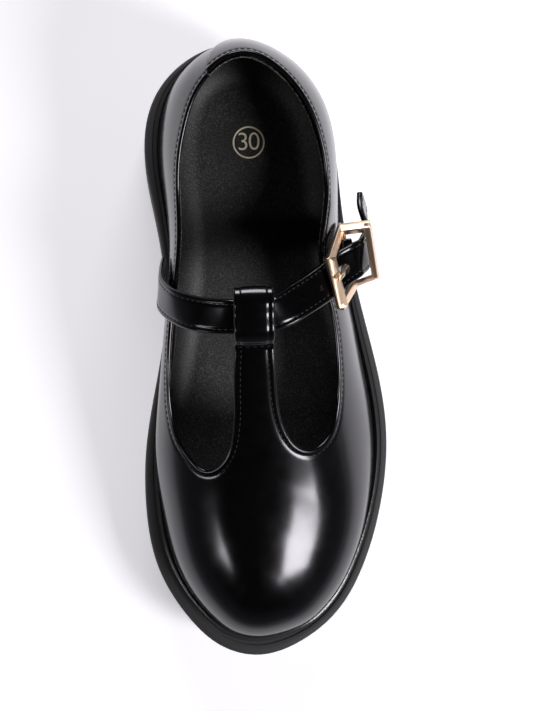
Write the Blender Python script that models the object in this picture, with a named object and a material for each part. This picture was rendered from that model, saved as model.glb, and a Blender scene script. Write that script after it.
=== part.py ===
"""Child's T-bar shoe for the left foot, size 30: a hollow leather upper on a moulded rubber sole, closed by a
buckled cross strap that runs through the folded end of the bar.

Lengths are in millimetres, and add_piece turns them into Blender's metres. +X points to the outer side of the
foot, -Y to the toe and +Z up. The origin is on the ground under the middle of the sole.
"""

import math

import bmesh
import bpy
import numpy as np
from mathutils.geometry import delaunay_2d_cdt

MM = 0.001
GAP = 0.3  # kept between pieces that meet
INSIDE = 1  # the flat triangulation keeps what its borders enclose

# Driving sizes
HALF_LENGTH = 107.5
WALL = 2.0  # leather and lining of the upper
STRAP_THICK = 2.0
TOE_SPRING = 8.0
HEEL_BREAST = 42.0  # station where the heel block ends
ARCH_FRONT = 6.0
ARCH_LIFT = 5.0

# Sole seen from above: reach to the outer and inner side, from toe to heel
SOLE_OUTLINE = (
    # station, outer, inner
    (-103.2, 15.6, -14.2),
    (-93.5, 28.8, -24.3),
    (-76.0, 39.8, -34.2),
    (-54.0, 46.8, -37.8),
    (-33.0, 49.2, -36.9),
    (-10.0, 46.8, -32.4),
    (8.0, 42.7, -29.0),
    (30.0, 37.9, -28.4),
    (50.0, 35.0, -31.0),
    (70.0, 33.2, -33.6),
    (88.0, 28.4, -30.2),
    (98.5, 21.0, -22.4),
)

# Width of the bare rim between the upper and the edge of the sole
RIM = (
    # station, outer, inner
    (-108.0, 7.2, 7.2),
    (-103.0, 5.8, 6.9),
    (-92.0, 5.4, 6.5),
    (-75.0, 5.2, 6.4),
    (-45.0, 4.5, 5.5),
    (-20.0, 4.6, 4.2),
    (0.0, 4.5, 3.2),
    (20.0, 3.7, 2.6),
    (40.0, 2.2, 3.6),
    (60.0, 1.6, 4.7),
    (85.0, 1.6, 4.9),
    (98.0, 2.0, 3.6),
    (108.0, 2.6, 2.6),
)

# Heights of the rim and of the crest that the upper is shaped over
RIM_HEIGHT = (
    # station, height
    (-108.0, 30.0),
    (-80.0, 25.0),
    (-45.0, 22.5),
    (-20.0, 23.5),
    (20.0, 28.0),
    (60.0, 32.0),
    (108.0, 33.0),
)
CREST = (
    # station, height
    (-78.0, 53.8),
    (-68.0, 54.7),
    (-56.0, 56.2),
    (-43.0, 59.5),
    (-30.0, 64.2),
    (-15.0, 69.8),
    (0.0, 75.2),
    (12.0, 78.4),
    (25.0, 83.0),
    (45.0, 91.0),
    (78.0, 92.0),
)
CREST_X = -1.0
SPINE_SHARE = 0.72  # the crest's length against the shoe's
TOE_LEAN = 1.5

# How square the walls are: reach of the shoulder on each side and share of the height that rises straight
FULLNESS = (
    # station, outer, inner, rise
    (-103.0, 0.60, 0.60, 0.60),
    (-60.0, 0.52, 0.58, 0.60),
    (-27.0, 0.44, 0.62, 0.60),
    (-5.0, 0.52, 0.92, 0.70),
    (25.0, 0.50, 0.90, 0.72),
    (50.0, 0.42, 0.50, 0.65),
    (75.0, 0.40, 0.40, 0.60),
    (103.0, 0.46, 0.46, 0.60),
)

# Top edge of the quarters, walked from the heel round the outer side to the window and then on the inner side
COLLAR_OUTER = (
    # x, station, height
    (-1.0, 95.6, 77.0),
    (12.4, 88.5, 75.2),
    (22.6, 72.0, 70.0),
    (26.2, 51.0, 64.5),
    (23.4, 31.0, 66.0),
    (27.2, 10.0, 62.0),
    (28.7, -8.0, 58.0),
    (26.4, -27.0, 54.6),
)
COLLAR_INNER = (
    # x, station, height
    (-13.0, 89.5, 75.2),
    (-21.3, 73.0, 70.0),
    (-23.9, 53.0, 64.5),
    (-24.8, 31.0, 64.0),
    (-28.4, 4.5, 60.5),
    (-29.2, -8.0, 57.5),
    (-27.1, -27.4, 54.0),
)

# Front of each window and the side of the bar, seen from above, from the window's front to the bar's end
BAR_OUTER = (
    # x, station
    (22.6, -32.0),
    (18.0, -33.9),
    (12.9, -32.2),
    (9.4, -27.2),
    (7.0, -18.4),
    (6.1, -6.7),
    (5.9, 8.0),
    (5.6, 14.0),
    (2.6, 16.2),
)
BAR_INNER = (
    # x, station
    (-23.4, -34.3),
    (-18.7, -39.2),
    (-13.8, -38.4),
    (-10.2, -34.0),
    (-8.5, -27.0),
    (-7.9, -18.0),
    (-7.8, -6.0),
    (-7.8, 8.0),
    (-7.5, 14.0),
    (-4.6, 16.2),
)


def through(table, column):
    """Smooth curve through one column of a table whose first column rises, level beyond its ends."""
    stations = np.array([row[0] for row in table], float)
    values = np.array([row[column] for row in table], float)
    slopes = np.gradient(values, stations)

    def at(place):
        place = np.clip(place, stations[0], stations[-1])
        i = np.clip(np.searchsorted(stations, place, side="right") - 1, 0, len(stations) - 2)
        span = stations[i + 1] - stations[i]
        w = (place - stations[i]) / span
        from_low = values[i] * (1 + 2 * w) + slopes[i] * span * w
        from_high = values[i + 1] * (3 - 2 * w) - slopes[i + 1] * span * (1 - w)
        return from_low * (1 - w) ** 2 + from_high * w**2

    return at


def closed_spline(points, count):
    """Places evenly spread along the smooth closed curve through the points."""
    p = np.array(points, float)
    ahead = np.roll(p, -1, axis=0) - p
    chord = np.linalg.norm(ahead, axis=1)
    size = len(p)
    matrix = np.zeros((size, size))
    for i in range(size):
        matrix[i, i - 1] += chord[i - 1]
        matrix[i, i] += 2 * (chord[i - 1] + chord[i])
        matrix[i, (i + 1) % size] += chord[i]
    steps = ahead / chord[:, None]
    bend = np.linalg.solve(matrix, 6 * (steps - np.roll(steps, 1, axis=0)))
    knots = np.concatenate([[0], np.cumsum(chord)])

    def at(length):
        i = np.clip(np.searchsorted(knots, length, side="right") - 1, 0, size - 1)
        j = (i + 1) % size
        h = chord[i][:, None]
        done = (length - knots[i])[:, None]
        left = h - done
        curve = (bend[i] * left**3 + bend[j] * done**3) / (6 * h)
        return curve + (p[i] / h - bend[i] * h / 6) * left + (p[j] / h - bend[j] * h / 6) * done

    fine = at(np.linspace(0, knots[-1], 40 * size, endpoint=False))
    travel = np.linalg.norm(np.roll(fine, -1, axis=0) - fine, axis=1)
    arc = np.concatenate([[0], np.cumsum(travel)])
    even = np.linspace(0, arc[-1], count, endpoint=False)
    loop = np.vstack([fine, fine[:1]])
    return np.column_stack([np.interp(even, arc, loop[:, k]) for k in range(p.shape[1])])


def outline(table, count):
    """Closed outline from a table of reaches, from the heel round the outer side to the toe and back."""
    outer = [(row[1], row[0]) for row in reversed(table)]
    inner = [(row[2], row[0]) for row in table]
    return closed_spline([(0, HALF_LENGTH), *outer, (0, -HALF_LENGTH), *inner], count)


def drawn_in(loop, inset):
    """The outline moved inwards by one width, or by one for each of its points."""
    along = np.roll(loop, -1, axis=0) - np.roll(loop, 1, axis=0)
    along /= np.linalg.norm(along, axis=1)[:, None]
    outward = np.column_stack([-along[:, 1], along[:, 0]])
    return loop - outward * np.broadcast_to(inset, len(loop))[:, None]


def rim_width(loop):
    outer = through(RIM, 1)(loop[:, 1])
    inner = through(RIM, 2)(loop[:, 1])
    side = np.clip(loop[:, 0] / 20, -1, 1)
    return (outer + inner) / 2 + side * (outer - inner) / 2


rim_height = through(RIM_HEIGHT, 1)
crest_height = through(CREST, 1)


class Last:
    """Form that the upper is pulled over. Meridians rise from the feather line, where the wall meets the sole,
    to a crest over the middle of the foot. A place on it is a share of the way round and a share of the way up."""

    SAMPLES = 1440
    PATTERN_REACH = 60.0  # how far the walls are laid outwards when the form is opened flat
    END_DEPTH = 8.0  # of the toe and of the heel along the feather line

    def __init__(self):
        sole = outline(SOLE_OUTLINE, self.SAMPLES)
        feather = drawn_in(sole, rim_width(sole))
        self.rounds = np.linspace(0, 1, self.SAMPLES + 1)
        self.feather = np.vstack([feather, feather[:1]])
        self.toe = self._under_crest(self.feather[:, 1] < feather[:, 1].min() + self.END_DEPTH)
        self.heel = self._under_crest(self.feather[:, 1] > feather[:, 1].max() - self.END_DEPTH)
        rows = [self._lean_row(*row) for row in COLLAR_OUTER + COLLAR_INNER]
        rows += [(self.toe + step, TOE_LEAN) for step in (-0.12, -0.06, 0.0, 0.06, 0.12)]
        rows.sort()
        around = [(at - 1, lean) for at, lean in rows] + rows + [(at + 1, lean) for at, lean in rows]
        self.lean = through(around, 1)

    def foot(self, at):
        at = np.asarray(at) % 1.0
        return np.column_stack([np.interp(at, self.rounds, self.feather[:, k]) for k in (0, 1)])

    def _under_crest(self, end):
        """Share of the way round where one end of the feather line passes under the crest."""
        across = self.feather[end, 0]
        order = np.argsort(across)
        shares = np.where(self.rounds > 0.75, self.rounds - 1.0, self.rounds)[end]
        return np.interp(CREST_X, across[order], shares[order])

    def frame(self, at):
        """Foot and centre of each meridian seen from above, its direction outwards and its reach."""
        foot = self.foot(at)
        centre = np.column_stack([np.full(len(foot), CREST_X), SPINE_SHARE * foot[:, 1]])
        reach = np.linalg.norm(foot - centre, axis=1)
        return foot, centre, (foot - centre) / reach[:, None], reach

    def shoulder(self, at):
        """How far out each meridian keeps to the slope of the crest."""
        foot, _, outward, reach = self.frame(at)
        outer = through(FULLNESS, 1)(foot[:, 1])
        inner = through(FULLNESS, 2)(foot[:, 1])
        return reach * ((outer + inner) / 2 + outward[:, 0] * (outer - inner) / 2)

    def heights(self, at, up):
        foot, centre, outward, _ = self.frame(at)
        low = rim_height(foot[:, 1]) + GAP
        straight = through(FULLNESS, 3)(foot[:, 1])
        rise = 3 * up * (1 - up) ** 2 * straight + 3 * up**2 * (1 - up) + up**3
        slope = (crest_height(centre[:, 1] + 1) - crest_height(centre[:, 1] - 1)) / 2
        tilt = slope * outward[:, 1] * self.shoulder(at)
        return low + (crest_height(centre[:, 1]) - low) * rise + 3 * up**2 * (1 - up) * tilt

    def _reach_without_lean(self, at, up):
        _, _, _, reach = self.frame(at)
        return reach * ((1 - up) ** 3 + 3 * up * (1 - up) ** 2) + 3 * up**2 * (1 - up) * self.shoulder(at)

    def reaches(self, at, up):
        return self._reach_without_lean(at, up) + 3 * up * (1 - up) ** 2 * self.lean(at)

    def _lean_row(self, x, station, height):
        """How far the wall leans out so that it passes through one place on the collar."""
        at = self.round_of(np.array([[x, station]]))
        up = self.up_at_height(at, height)
        _, centre, _, _ = self.frame(at)
        wanted = np.hypot(x - centre[0, 0], station - centre[0, 1])
        lean = (wanted - self._reach_without_lean(at, up)) / (3 * up * (1 - up) ** 2)
        return float(at[0]), float(lean[0])

    def point(self, at, up):
        at = np.asarray(at) % 1.0
        _, centre, outward, _ = self.frame(at)
        plan = centre + outward * self.reaches(at, up)[:, None]
        return np.column_stack([plan, self.heights(at, up)])

    def round_of(self, plan):
        """Share of the way round of the meridian that passes over each place."""
        outer = plan[:, 0] >= CREST_X
        low = np.where(outer, self.heel, self.toe)
        high = np.where(outer, self.toe, self.heel + 1.0)
        for _ in range(40):
            middle = (low + high) / 2
            foot, centre, _, _ = self.frame(middle)
            arm = foot - centre
            off = plan - centre
            turn = off[:, 0] * arm[:, 1] - off[:, 1] * arm[:, 0]
            low = np.where(turn > 0, middle, low)
            high = np.where(turn > 0, high, middle)
        return (low + high) / 2

    def up_at_height(self, at, height):
        low = np.zeros(len(at))
        high = np.ones(len(at))
        for _ in range(40):
            middle = (low + high) / 2
            under = self.heights(at, middle) < height
            low = np.where(under, middle, low)
            high = np.where(under, high, middle)
        return low

    def up_over(self, at, plan):
        """Share of the way up where the form's upper side lies over a place."""
        _, centre, _, _ = self.frame(at)
        wanted = np.linalg.norm(plan - centre, axis=1)
        low = np.full(len(at), 0.3)
        high = np.ones(len(at))
        for _ in range(40):
            middle = (low + high) / 2
            outside = self.reaches(at, middle) > wanted
            low = np.where(outside, middle, low)
            high = np.where(outside, high, middle)
        return low

    def to_pattern(self, at, up):
        """The form opened flat, with its crest in place and its walls laid outwards."""
        _, centre, outward, reach = self.frame(at)
        return centre + outward * ((reach + self.PATTERN_REACH) * (1 - up))[:, None]

    def from_pattern(self, flat):
        at = self.round_of(flat)
        _, centre, _, reach = self.frame(at)
        out = np.linalg.norm(flat - centre, axis=1) / (reach + self.PATTERN_REACH)
        return at, 1 - np.clip(out, 0, 1)


LAST = Last()
ORIGIN_X = np.mean(np.array([f(outline(SOLE_OUTLINE, 720)[:, 0]) for f in (np.min, np.max)]))


def material(name, colour, roughness, metallic=0.0):
    made = bpy.data.materials.new(name)
    made.use_nodes = True
    surface = made.node_tree.nodes["Principled BSDF"]
    surface.inputs["Base Color"].default_value = (*colour, 1.0)
    surface.inputs["Roughness"].default_value = roughness
    surface.inputs["Metallic"].default_value = metallic
    return made


def add_piece(name, points, faces, finish):
    """A named object from points in millimetres, with its faces turned outwards."""
    mesh = bpy.data.meshes.new(name)
    moved = (np.asarray(points, float) - (ORIGIN_X, 0, 0)) * MM
    mesh.from_pydata(moved.tolist(), [], [list(map(int, face)) for face in faces])
    form = bmesh.new()
    form.from_mesh(mesh)
    bmesh.ops.recalc_face_normals(form, faces=form.faces)
    form.to_mesh(mesh)
    form.free()
    mesh.shade_smooth()
    mesh.set_sharp_from_angle(angle=math.radians(35))
    piece = bpy.data.objects.new(name, mesh)
    bpy.context.collection.objects.link(piece)
    if finish:
        mesh.materials.append(finish)
    return piece


def cut(piece, tool, operation="DIFFERENCE"):
    tool.hide_render = True
    tool.display_type = "WIRE"
    boolean = piece.modifiers.new(tool.name, "BOOLEAN")
    boolean.operation = operation
    boolean.object = tool


def ring_solid(rings, lid):
    """Points and faces of a solid between stacked closed rings, with lid triangles on the first and last."""
    count = len(rings[0])
    faces = []
    for level in range(len(rings) - 1):
        for i in range(count):
            j = (i + 1) % count
            low, high = level * count, (level + 1) * count
            faces.append((low + i, low + j, high + j, high + i))
    top = (len(rings) - 1) * count
    faces += [tuple(face) for face in lid]
    faces += [tuple(top + k for k in reversed(face)) for face in lid]
    return np.vstack(rings), faces


def lid_of(loop):
    """Triangles that fill a closed outline."""
    count = len(loop)
    edges = [(i, (i + 1) % count) for i in range(count)]
    made = delaunay_2d_cdt([tuple(p) for p in loop], edges, [], INSIDE, 1e-6)
    order = [source[0] for source in made[3]]
    return [tuple(order[k] for k in face) for face in made[2]]


def box(name, low, high):
    corners = [(x, y, z) for x in (low[0], high[0]) for y in (low[1], high[1]) for z in (low[2], high[2])]
    faces = [(0, 1, 3, 2), (4, 6, 7, 5), (0, 4, 5, 1), (2, 3, 7, 6), (0, 2, 6, 4), (1, 5, 7, 3)]
    return add_piece(name, corners, faces, None)


# Outsole: one rubber moulding with a rounded rim, straight sides, a raised arch, toe spring and cross lugs
SOLE_POINTS = 120
LUG_DEPTH = 4.0
LUG_GROOVE = 3.6
LUG_PITCH = 11.0
GROOVE_REACH = 60.0


def tread_height(station):
    """Underside of the sole: flat under heel and ball, rising at the toe and a little at the back."""
    toe = np.clip((-52.0 - station) / 56.0, 0, None)
    back = np.clip((station - 94.0) / 14.0, 0, None)
    return TOE_SPRING * toe**1.8 + 2.5 * back**2


def outsole(finish):
    loop = outline(SOLE_OUTLINE, SOLE_POINTS)
    profile = (
        # inset, share of the height, lift
        (11.0, 1.0, 0.0),
        (1.3, 1.0, 0.0),
        (0.4, 1.0, -0.4),
        (0.0, 1.0, -1.4),
        (0.2, 0.5, 0.0),
        (0.6, 0.0, 1.6),
        (1.6, 0.0, 0.0),
    )
    rings = []
    for inset, share, lift in profile:
        ring = drawn_in(loop, inset)
        low = tread_height(ring[:, 1])
        high = rim_height(ring[:, 1])
        rings.append(np.column_stack([ring, low + (high - low) * share + lift]))
    sole = add_piece("outsole", *ring_solid(rings, lid_of(rings[0][:, :2])), finish)

    arch = []
    steps = 12
    for i in range(steps + 1):
        share = i / steps
        station = HEEL_BREAST + (ARCH_FRONT - HEEL_BREAST) * share
        arch.append((station, ARCH_LIFT * (1 - share**2) if share else ARCH_LIFT))
    arch = [(HEEL_BREAST + 1.5, -3.0), *arch, (ARCH_FRONT, -3.0)]
    rings = [np.array([(x, y, z) for y, z in arch]) for x in (-GROOVE_REACH, GROOVE_REACH)]
    fill = lid_of([(y, z) for y, z in arch])
    cut(sole, add_piece("arch_cutter", *ring_solid(rings, fill), None))

    for first, last in ((-92.0, -4.0), (52.0, 97.0)):
        for i in range(int((last - first) / LUG_PITCH) + 1):
            station = first + i * LUG_PITCH
            base = float(tread_height(np.array(station)))
            low_corner = (-GROOVE_REACH, station - LUG_GROOVE / 2, -3.0)
            high_corner = (GROOVE_REACH, station + LUG_GROOVE / 2, base + LUG_DEPTH)
            cut(sole, box(f"groove_{station:.0f}", low_corner, high_corner))
    return sole


# Insole: footbed inside the walls, a little dished at the heel
INSOLE_THICK = 4.0
INSOLE_POINTS = 72
HEEL_DISH = 2.5


def insole(finish):
    rounds = np.linspace(0, 1, INSOLE_POINTS, endpoint=False)
    foot = LAST.foot(rounds)
    dish = HEEL_DISH * np.clip((foot[:, 1] - 20) / 50, 0, 1)
    seat = rim_height(foot[:, 1]) + GAP
    top = seat + INSOLE_THICK + dish
    wall = LAST.point(rounds, LAST.up_at_height(rounds, top))[:, :2]
    clear = WALL + 3 * GAP
    edge = drawn_in(wall, clear)
    rings = [np.column_stack([drawn_in(foot, clear), seat]), np.column_stack([edge, top])]
    for inset, share in ((3.0, 0.45), (8.0, 0.0)):
        rings.append(np.column_stack([drawn_in(edge, inset), seat + INSOLE_THICK + dish * share]))
    return add_piece("insole", *ring_solid(rings, lid_of(edge)), finish)


# Upper: vamp, quarters and bar in one wall, cut open at the collar and the two windows
def enclosed(places, loop):
    """Which places lie inside a closed loop, by counting the sides crossed on the way out."""
    x, y = places[:, :1], places[:, 1:]
    start, end = loop, np.roll(loop, -1, axis=0)
    spans = (start[:, 1] > y) != (end[:, 1] > y)
    slope = (end[:, 0] - start[:, 0]) / (end[:, 1] - start[:, 1])
    return (spans & (x < start[:, 0] + (y - start[:, 1]) * slope)).sum(axis=1) % 2 == 1


def outward_normals(points, triangles):
    corners = points[triangles]
    across = np.cross(corners[:, 1] - corners[:, 0], corners[:, 2] - corners[:, 0])
    normals = np.zeros_like(points)
    for k in range(3):
        np.add.at(normals, triangles[:, k], across)
    return normals / np.maximum(np.linalg.norm(normals, axis=1), 1e-9)[:, None]


def wall_solid(outside, inside, triangles):
    """Points and faces of the wall between two sheets that share their triangles, closed along the free edges."""
    count = len(outside)
    faces = [tuple(t) for t in triangles] + [tuple(count + k for k in reversed(t)) for t in triangles]
    edges = {(t[k], t[(k + 1) % 3]) for t in triangles for k in range(3)}
    faces += [(a, count + a, count + b, b) for a, b in edges if (b, a) not in edges]
    return np.vstack([outside, inside]), faces


UPPER_FOOT_POINTS = 110
COLLAR_POINTS = 190
PATTERN_STEP = 7.5


def collar_loop(count):
    """Edge of the opening on the opened-flat form, round the collar, the windows and the bar."""
    places = []

    def on_wall(rows):
        for x, station, height in rows:
            at = LAST.round_of(np.array([[x, station]]))
            places.append(LAST.to_pattern(at, LAST.up_at_height(at, height))[0])

    def on_top(rows):
        for x, station in rows:
            plan = np.array([[x, station]])
            at = LAST.round_of(plan)
            places.append(LAST.to_pattern(at, LAST.up_over(at, plan))[0])

    on_wall(COLLAR_OUTER)
    on_top(BAR_OUTER)
    on_top(reversed(BAR_INNER))
    on_wall(reversed(COLLAR_INNER))
    return closed_spline(places, count)


def upper(finish):
    rounds = np.linspace(0, 1, UPPER_FOOT_POINTS, endpoint=False)
    foot = LAST.to_pattern(rounds, np.zeros(UPPER_FOOT_POINTS))
    edge = collar_loop(COLLAR_POINTS)
    reach = np.abs(foot).max() + PATTERN_STEP
    lines = np.arange(-reach, reach, PATTERN_STEP)
    inside = np.array([(x + (i % 2) * PATTERN_STEP / 2, y) for i, y in enumerate(lines) for x in lines])
    margin = 0.6 * PATTERN_STEP
    apart = np.array([np.linalg.norm(edge - p, axis=1).min() > margin for p in inside])
    _, up = LAST.from_pattern(inside)
    inside = inside[apart & (up > 0.025) & ~enclosed(inside, edge)]

    points = np.vstack([foot, edge, inside])
    first = len(foot)
    borders = [(i, (i + 1) % first) for i in range(first)]
    borders += [(first + i, first + (i + 1) % len(edge)) for i in range(len(edge))]
    made = delaunay_2d_cdt([tuple(p) for p in points], borders, [], INSIDE, 1e-6)
    flat = np.array([tuple(p) for p in made[0]])
    triangles = np.array(made[2])
    triangles = triangles[~enclosed(flat[triangles].mean(axis=1), edge)]
    outside = LAST.point(*LAST.from_pattern(flat))
    inside = outside - WALL * outward_normals(outside, triangles)
    inside[:, 2] = np.maximum(inside[:, 2], rim_height(inside[:, 1]) + GAP)
    return add_piece("upper", *wall_solid(outside, inside, triangles.tolist()), finish)


# Cross strap: sewn to the inner quarter, over the bar, under and over the buckle's bars to a hanging end
STRAP_WIDTH = 11.6
STRAP_ROUTE = (
    # x, y, z, and the way the outer face looks
    (-28.7, 27.6, 41.0, -1.0, 0.0, 0.05),
    (-29.5, 24.4, 48.5, -1.0, 0.0, 0.05),
    (-30.0, 19.8, 58.5, -1.0, 0.0, 0.3),
    (-26.7, 15.8, 67.2, -0.8, -0.15, 0.6),
    (-18.5, 12.3, 75.2, -0.4, -0.08, 0.9),
    (-9.0, 11.1, 79.2, -0.12, -0.27, 0.96),
    (-1.0, 11.3, 80.0, 0.0, -0.27, 0.96),
    (7.0, 12.2, 79.7, 0.0, -0.16, 0.98),
    (15.0, 16.2, 76.4, 0.12, 0.1, 0.98),
    (23.0, 21.0, 71.8, 0.3, 0.12, 0.95),
    (30.0, 26.0, 67.9, 0.28, 0.05, 0.96),
    (34.9, 28.8, 65.9, 0.4, -0.1, 0.9),
    (37.4, 30.3, 63.0, 0.65, -0.15, 0.75),
    (39.2, 32.7, 59.2, 0.75, -0.15, 0.65),
    (40.5, 35.3, 55.2, 0.85, -0.1, 0.5),
    (40.9, 38.6, 51.0, 0.93, 0.0, 0.3),
    (40.5, 42.4, 47.6, 0.95, 0.05, 0.3),
    (40.2, 46.4, 45.0, 0.95, 0.0, 0.32),
    (40.5, 50.4, 43.2, 0.95, -0.08, 0.32),
)
STRAP_STEPS = 60
PRONG_HOLE = 1.8  # radius


def open_spline(rows, count):
    """Places spread along the smooth curve through the rows, every column treated alike."""
    rows = np.array(rows, float)
    gaps = np.linalg.norm(np.diff(rows[:, :3], axis=0), axis=1)
    travel = np.concatenate([[0], np.cumsum(gaps)])
    table = np.column_stack([travel, rows])
    spread = np.linspace(0, travel[-1], count)
    return np.column_stack([through(table, k + 1)(spread) for k in range(rows.shape[1])])


def sweep(path, facing, profile, spread=1.0):
    """Points and faces of a profile of (across, outward) places carried along a path and spread sideways."""
    along = np.gradient(path, axis=0)
    along /= np.linalg.norm(along, axis=1)[:, None]
    out = facing - along * (facing * along).sum(axis=1)[:, None]
    out /= np.linalg.norm(out, axis=1)[:, None]
    across = np.cross(along, out)
    spread = np.broadcast_to(spread, len(path))
    rings = []
    for p, a, n, wide in zip(path, across, out, spread):
        rings.append(p + np.outer(wide * profile[:, 0], a) + np.outer(profile[:, 1], n))
    return ring_solid(rings, lid_of(profile))


def strap_section(width, thick):
    """Flat section with its long corners eased."""
    half, deep, ease = width / 2, thick / 2, 0.3 * thick
    return np.array([
        (-half, -deep + ease), (-half + ease, -deep), (half - ease, -deep), (half, -deep + ease),
        (half, deep - ease), (half - ease, deep), (-half + ease, deep), (-half, deep - ease),
    ])


def rod(name, route, radius, sides, steps, finish):
    """Round bar along a smooth route."""
    path = open_spline(route, steps)
    turn = np.linspace(0, 2 * math.pi, sides, endpoint=False)
    profile = radius * np.column_stack([np.cos(turn), np.sin(turn)])
    facing = np.broadcast_to((0.3, 0.5, 0.8), path.shape)
    return add_piece(name, *sweep(path, facing, profile), finish)


def cross_strap(finish):
    route = open_spline(STRAP_ROUTE, STRAP_STEPS)
    section = strap_section(STRAP_WIDTH, STRAP_THICK)
    strap = add_piece("cross_strap", *sweep(route[:, :3], route[:, 3:], section), finish)
    hole = [PRONG_ROUTE[1], PRONG_ROUTE[2]]
    cut(strap, rod("prong_hole_cutter", hole, PRONG_HOLE, 12, 2, None))
    return strap


# End of the bar, folded back over the cross strap and sewn down in front of it
LOOP_THICK = 1.4
LOOP_WIDTH = 13.2
LOOP_CROWN = 0.5  # how far the sides droop, like the bar
LOOP_STEPS = 26
LOOP_ROUTE = (
    # y, z
    (19.1, 78.8),
    (19.9, 80.4),
    (19.8, 81.7),
    (18.4, 82.9),
    (15.4, 83.6),
    (11.4, 82.4),
    (5.2, 81.0),
    (3.2, 79.4),
    (2.0, 77.8),
    (0.2, 76.8),
)


def t_bar_loop(finish):
    route = open_spline([(CREST_X, y, z) for y, z in LOOP_ROUTE], LOOP_STEPS)
    turned = np.gradient(route, axis=0)
    facing = np.column_stack([np.zeros(LOOP_STEPS), turned[:, 2], -turned[:, 1]])
    across = np.linspace(-LOOP_WIDTH / 2, LOOP_WIDTH / 2, 7)
    droop = -LOOP_CROWN * (2 * across / LOOP_WIDTH) ** 2
    low = np.column_stack([across, droop - LOOP_THICK / 2])
    high = np.column_stack([across, droop + LOOP_THICK / 2])
    return add_piece("t_bar_loop", *sweep(route, facing, np.vstack([low, high[::-1]])), finish)


# Buckle: a bent frame with a middle bar, a pin on that bar and the leather tab that holds it to the quarter
FRAME_CORNERS = (
    # x, y, z, round the frame from the instep side's heel corner
    (25.1, 28.4, 74.4),
    (30.3, 39.1, 62.2),
    (39.2, 39.8, 64.1),
    (40.8, 22.9, 66.7),
    (34.3, 20.8, 62.2),
    (28.4, 13.6, 73.6),
)
FRAME_BARS = (
    # the way the broad face looks, width, thickness, each bar from its corner to the next
    (0.55, 0.3, 0.75, 2.6, 1.8),
    (0.1, 0.55, 0.83, 3.4, 2.4),
    (0.9, 0.1, 0.4, 3.0, 2.0),
    (0.0, -0.9, 0.35, 2.0, 1.5),
    (0.5, -0.3, 0.8, 3.0, 1.8),
    (0.32, 0.0, 0.95, 3.4, 2.2),
)
FRAME_LAP = 0.9  # how far each bar runs on past its corners
MIDDLE_BAR = 1.1  # radius
PIN_RADIUS = 0.8
PRONG_ROUTE = (
    # x, y, z
    (32.5, 28.0, 64.4),
    (31.2, 26.8, 65.3),
    (29.4, 24.4, 71.0),
    (28.6, 23.1, 75.6),
    (27.0, 21.6, 77.2),
)
TAB_WIDTH = 5.2  # round the bar
TAB_THICK = 1.3
TAB_ROUTE = (
    # out from the bar, up from the bar, towards the heel, width
    (2.7, -17.5, 5.6, 14.0),
    (1.1, -11.0, 5.0, 12.5),
    (-1.1, -5.5, 4.0, 9.0),
    (-2.4, -1.0, 3.2, 5.2),
    (-1.5, 1.5, 3.2, 5.2),
    (0.2, 2.15, 3.2, 5.2),
    (1.7, 1.3, 3.2, 5.2),
    (2.1, -0.5, 3.2, 5.2),
    (1.2, -2.0, 3.2, 5.2),
)


def flat_bar(name, start, end, facing, width, thick, finish):
    """Straight bar between two corners, run on past both."""
    way = (end - start) / np.linalg.norm(end - start)
    path = np.array([start - FRAME_LAP * way, end + FRAME_LAP * way])
    looks = np.broadcast_to(facing, path.shape)
    return add_piece(name, *sweep(path, looks, strap_section(width, thick)), finish)


def buckle_frame(finish):
    corners = np.array(FRAME_CORNERS)
    frame = None
    for i, (x, y, z, width, thick) in enumerate(FRAME_BARS):
        ends = corners[i], corners[(i + 1) % len(corners)]
        if frame is None:
            frame = flat_bar("buckle_frame", *ends, (x, y, z), width, thick, finish)
        else:
            cut(frame, flat_bar(f"frame_bar_{i}", *ends, (x, y, z), width, thick, None), "UNION")
    cut(frame, rod("middle_bar", [corners[1], corners[4]], MIDDLE_BAR, 10, 2, None), "UNION")
    return frame


def buckle_tab(finish):
    heel_end, toe_end = np.array(FRAME_CORNERS[1]), np.array(FRAME_CORNERS[4])
    along = (heel_end - toe_end) / np.linalg.norm(heel_end - toe_end)
    out = np.cross(along, (0, 0, 1))
    middle = (heel_end + toe_end) / 2
    rows = [(*(middle + d * out + s * along + (0, 0, h)), width) for d, h, s, width in TAB_ROUTE]
    route = open_spline(rows, 28)
    facing = np.cross(along, np.gradient(route[:, :3], axis=0))
    section = strap_section(TAB_WIDTH, TAB_THICK)
    return add_piece("buckle_tab", *sweep(route[:, :3], facing, section, route[:, 3] / TAB_WIDTH), finish)


def main():
    for obj in list(bpy.data.objects):
        bpy.data.objects.remove(obj)
    rubber = material("sole_rubber", (0.02, 0.02, 0.022), 0.6)
    patent = material("patent_leather", (0.005, 0.005, 0.006), 0.12)
    lining = material("lining_leather", (0.012, 0.012, 0.012), 0.5)
    brass = material("rose_brass", (0.83, 0.6, 0.43), 0.2, metallic=1.0)
    outsole(rubber)
    insole(lining)
    upper(patent)
    cross_strap(patent)
    t_bar_loop(patent)
    buckle_tab(patent)
    buckle_frame(brass)
    rod("buckle_prong", PRONG_ROUTE, PIN_RADIUS, 10, 16, brass)


main()
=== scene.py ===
"""Studio picture of a child's black T-bar shoe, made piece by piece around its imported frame."""

import math

import bmesh
import bpy
import numpy as np
from mathutils import Matrix, Quaternion, Vector
from mathutils.geometry import delaunay_2d_cdt
from mathutils.kdtree import KDTree

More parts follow.
